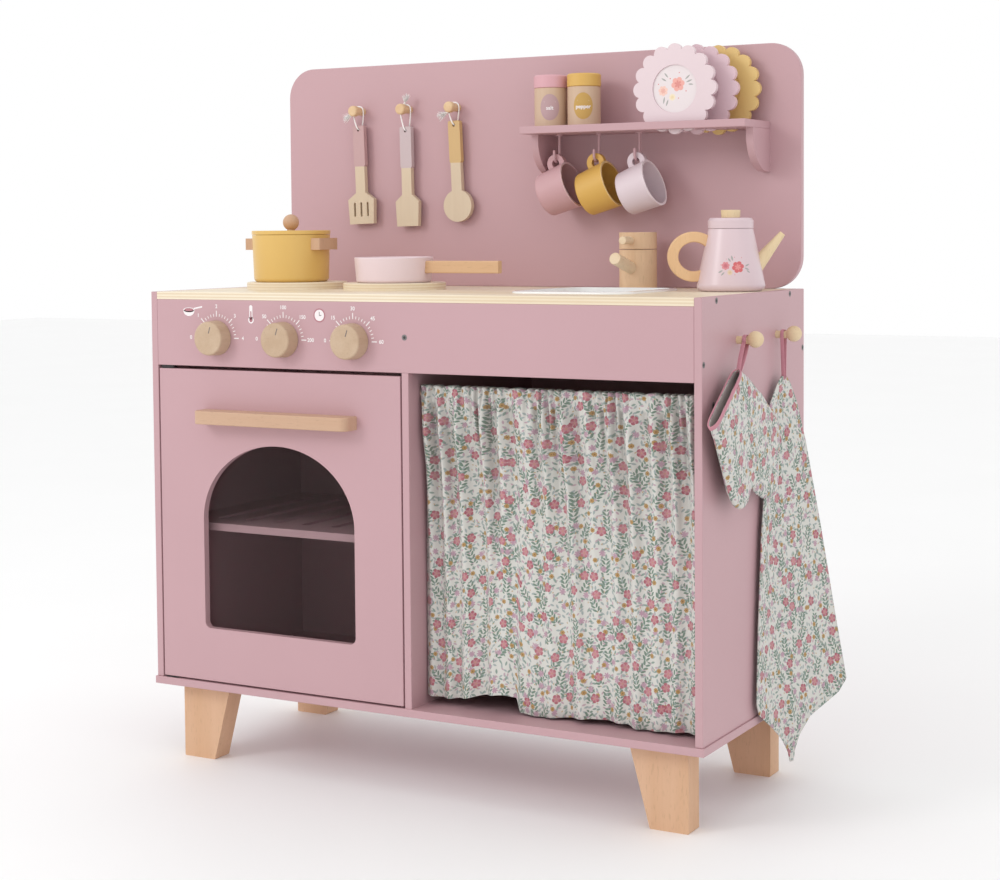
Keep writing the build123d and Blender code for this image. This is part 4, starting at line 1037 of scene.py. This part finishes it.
def tape(name, path, widths, thick, material, body, closed=False):
    """A flat woven tape along a path; widths gives its width direction and half width at each point."""
    verts, faces = [], []
    for p, w in zip(path, widths):
        p, w = Vector(p), Vector(w)
        verts.append((p, w))
    ring = []
    total = len(verts)
    for i, (p, w) in enumerate(verts):
        ahead_p = verts[(i + 1) % total if closed else min(i + 1, total - 1)][0]
        behind_p = verts[i - 1 if closed or i else 0][0]
        way = (ahead_p - behind_p).normalized()
        lift = way.cross(w).normalized() * thick / 2
        ring += [p - w + lift * 0.6, p - w * 0.8 + lift, p + w * 0.8 + lift, p + w + lift * 0.6,
                 p + w - lift * 0.6, p + w * 0.8 - lift, p - w * 0.8 - lift, p - w - lift * 0.6]
    for i in range(total if closed else total - 1):
        j = (i + 1) % total
        faces += [(8 * i + k, 8 * i + (k + 1) % 8, 8 * j + (k + 1) % 8, 8 * j + k) for k in range(8)]
    if not closed:
        faces += [tuple(range(7, -1, -1)), tuple(range(8 * total - 8, 8 * total))]
    return new_piece(name, ring, faces, material, body)


cuff_points = [cuff_from.lerp(cuff_to, i / 26) for i in range(27)]
inward = Vector((cuff_way.y, -cuff_way.x))
cuff_ring, cuff_width = [], []
for sign, order in ((1, cuff_points), (-1, list(reversed(cuff_points)))):
    for p in order[1:] if sign < 0 else order:
        away = min(gap_to(p, a, b) for a, b in seam)
        t = min(1.0, away / 17.0)
        half = 5.2 * sqrt(max(0.0, 1 - (1 - t) ** 2)) + 0.5
        middle = p + inward * 1.6
        cuff_ring.append((mitt_mid + sign * half * mm, front + middle.x * mm, middle.y * mm))
        cuff_width.append((0, inward.x * 2.4 * mm, inward.y * 2.4 * mm))
cuff = tape("mitt_binding", cuff_ring, cuff_width, 1.5 * mm, binding, "mitt_body", closed=True)
strap_x = right_face + 9.7 * mm
loop_path, loop_width = [], []
knot_at = Vector((mitt_mid - 1 * mm, front + 60 * mm, 495 * mm))
for t in range(13):
    s = t / 12
    p = knot_at.lerp(Vector((strap_x, peg_y - 5.4 * mm, side_peg_z - 2 * mm)), s)
    loop_path.append(p + Vector((0, -1.5 * mm * sin(pi * s), 0)))
for t in range(11):
    angle = radians(200 - 220 * t / 10)
    loop_path.append(Vector((strap_x, peg_y + 5.4 * mm * cos(angle), side_peg_z + 5.4 * mm * sin(angle))))
for t in range(1, 13):
    s = t / 12
    p = Vector((strap_x, peg_y + 5.2 * mm, side_peg_z - 2 * mm))
    p = p.lerp(knot_at + Vector((0, 4 * mm, -1 * mm)), s)
    loop_path.append(p + Vector((0, 2.5 * mm * sin(pi * s), 0)))
loop_width = [(2.3 * mm, 0, 0)] * len(loop_path)
loop = tape("mitt_loop", loop_path, loop_width, 0.9 * mm, binding, "mitt_body")

# ---- tea towel ----
# A printed cotton towel hung by a pink tape from one corner on the rear side peg, so it falls in a long
# point with soft upright folds, its lower corners swinging out and its tip twisted.
levels = [(478, (9, 207), (9.7, 213), (10.2, 219)), (470, (8, 196), (10.5, 212.5), (12, 227)),
          (448, (5.8, 178.5), (10, 212), (15.2, 239.5)), (400, (5.7, 169), (9.5, 211), (21, 254)),
          (300, (5.8, 152.5), (9.7, 210), (29, 282)), (200, (5.8, 143), (13, 212), (42, 293.5)),
          (118, (6, 137.5), (18, 216), (54.2, 301)), (104, (6.6, 144), (19, 214), (49, 287)),
          (84, (11, 173), (19, 213), (31, 242)), (66, (14.5, 195), (19, 213), (24, 227)),
          (50, (16.8, 207), (18.6, 214), (20.6, 220)), (37, (17.9, 211.5), (18.7, 214.5), (19.6, 217.5))]
lines, columns = 150, 56
rows, uv_rows = [], []
for line in range(lines + 1):
    z = levels[0][0] + (levels[-1][0] - levels[0][0]) * line / lines
    for (z1, *upper), (z0, *lower) in zip(levels, levels[1:]):
        if z >= z0 - 1e-6:
            t = (z1 - z) / (z1 - z0)
            a, m, b = [Vector(p).lerp(Vector(q), t) for p, q in zip(upper, lower)]
            break
    row = []
    span = (b - a).length
    for c in range(columns + 1):
        s = c / columns
        p = a * (1 - s) * (1 - 2 * s) + m * 4 * s * (1 - s) + b * s * (2 * s - 1)
        amp = min(1.0, span / 60)
        near_top = exp(-(478 - z) / 60)
        fold = (1.5 * sin(2 * pi * (1.5 * s + 0.1 + (478 - z) * 0.0006))
                + 1.0 * sin(2 * pi * (3.5 * s + 0.3)) * near_top)
        fold += 1.3 * exp(-((s - 0.46 - 0.03 * sin(z * 0.01)) / 0.05) ** 2)
        fold *= amp * sin(pi * min(1, max(0, s))) ** 0.5 if 0 < s < 1 else 0
        row.append(Vector((right_face + (p.x + max(-1.8, min(3.2, fold))) * mm, front + p.y * mm, z * mm)))
    rows.append(row)
for index, row in enumerate(rows):
    lengths = [0.0]
    for a, b in zip(row, row[1:]):
        lengths.append(lengths[-1] + (b - a).length)
    centre = lengths[columns // 2]
    uv_rows.append([(length - centre + 1.6, 0.55 - index * 441 * mm / lines) for length in lengths])
towel = cloth_grid("towel_cloth", rows, uv_rows, cotton, "towel_body", 1.2 * mm)
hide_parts("towel")
towel_peg_y = front + 215.5 * mm
tape_x = right_face + 8.5 * mm
for which, offset in (("front", -3.6), ("back", 3.0)):
    base = Vector((right_face + 9.6 * mm, towel_peg_y + (offset * 0.5 - 1.5) * mm, 474 * mm))
    top_y = towel_peg_y + (5.3 if offset > 0 else -5.3) * mm
    path = [base.lerp(Vector((tape_x, top_y, side_peg_z)), t / 14) for t in range(15)]
    ends = range(90, -1, -15) if offset > 0 else range(90, 181, 15)
    arc = [Vector((tape_x, towel_peg_y + 5.3 * mm * cos(radians(a)),
                   side_peg_z + 5.3 * mm * sin(radians(a)))) for a in ends]
    path = path + list(reversed(arc))[1:]
    strip = tape("towel_tape_" + which, path, [(2.0 * mm, 0, 0)] * len(path), 0.8 * mm, binding,
                 "towel_body")

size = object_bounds()
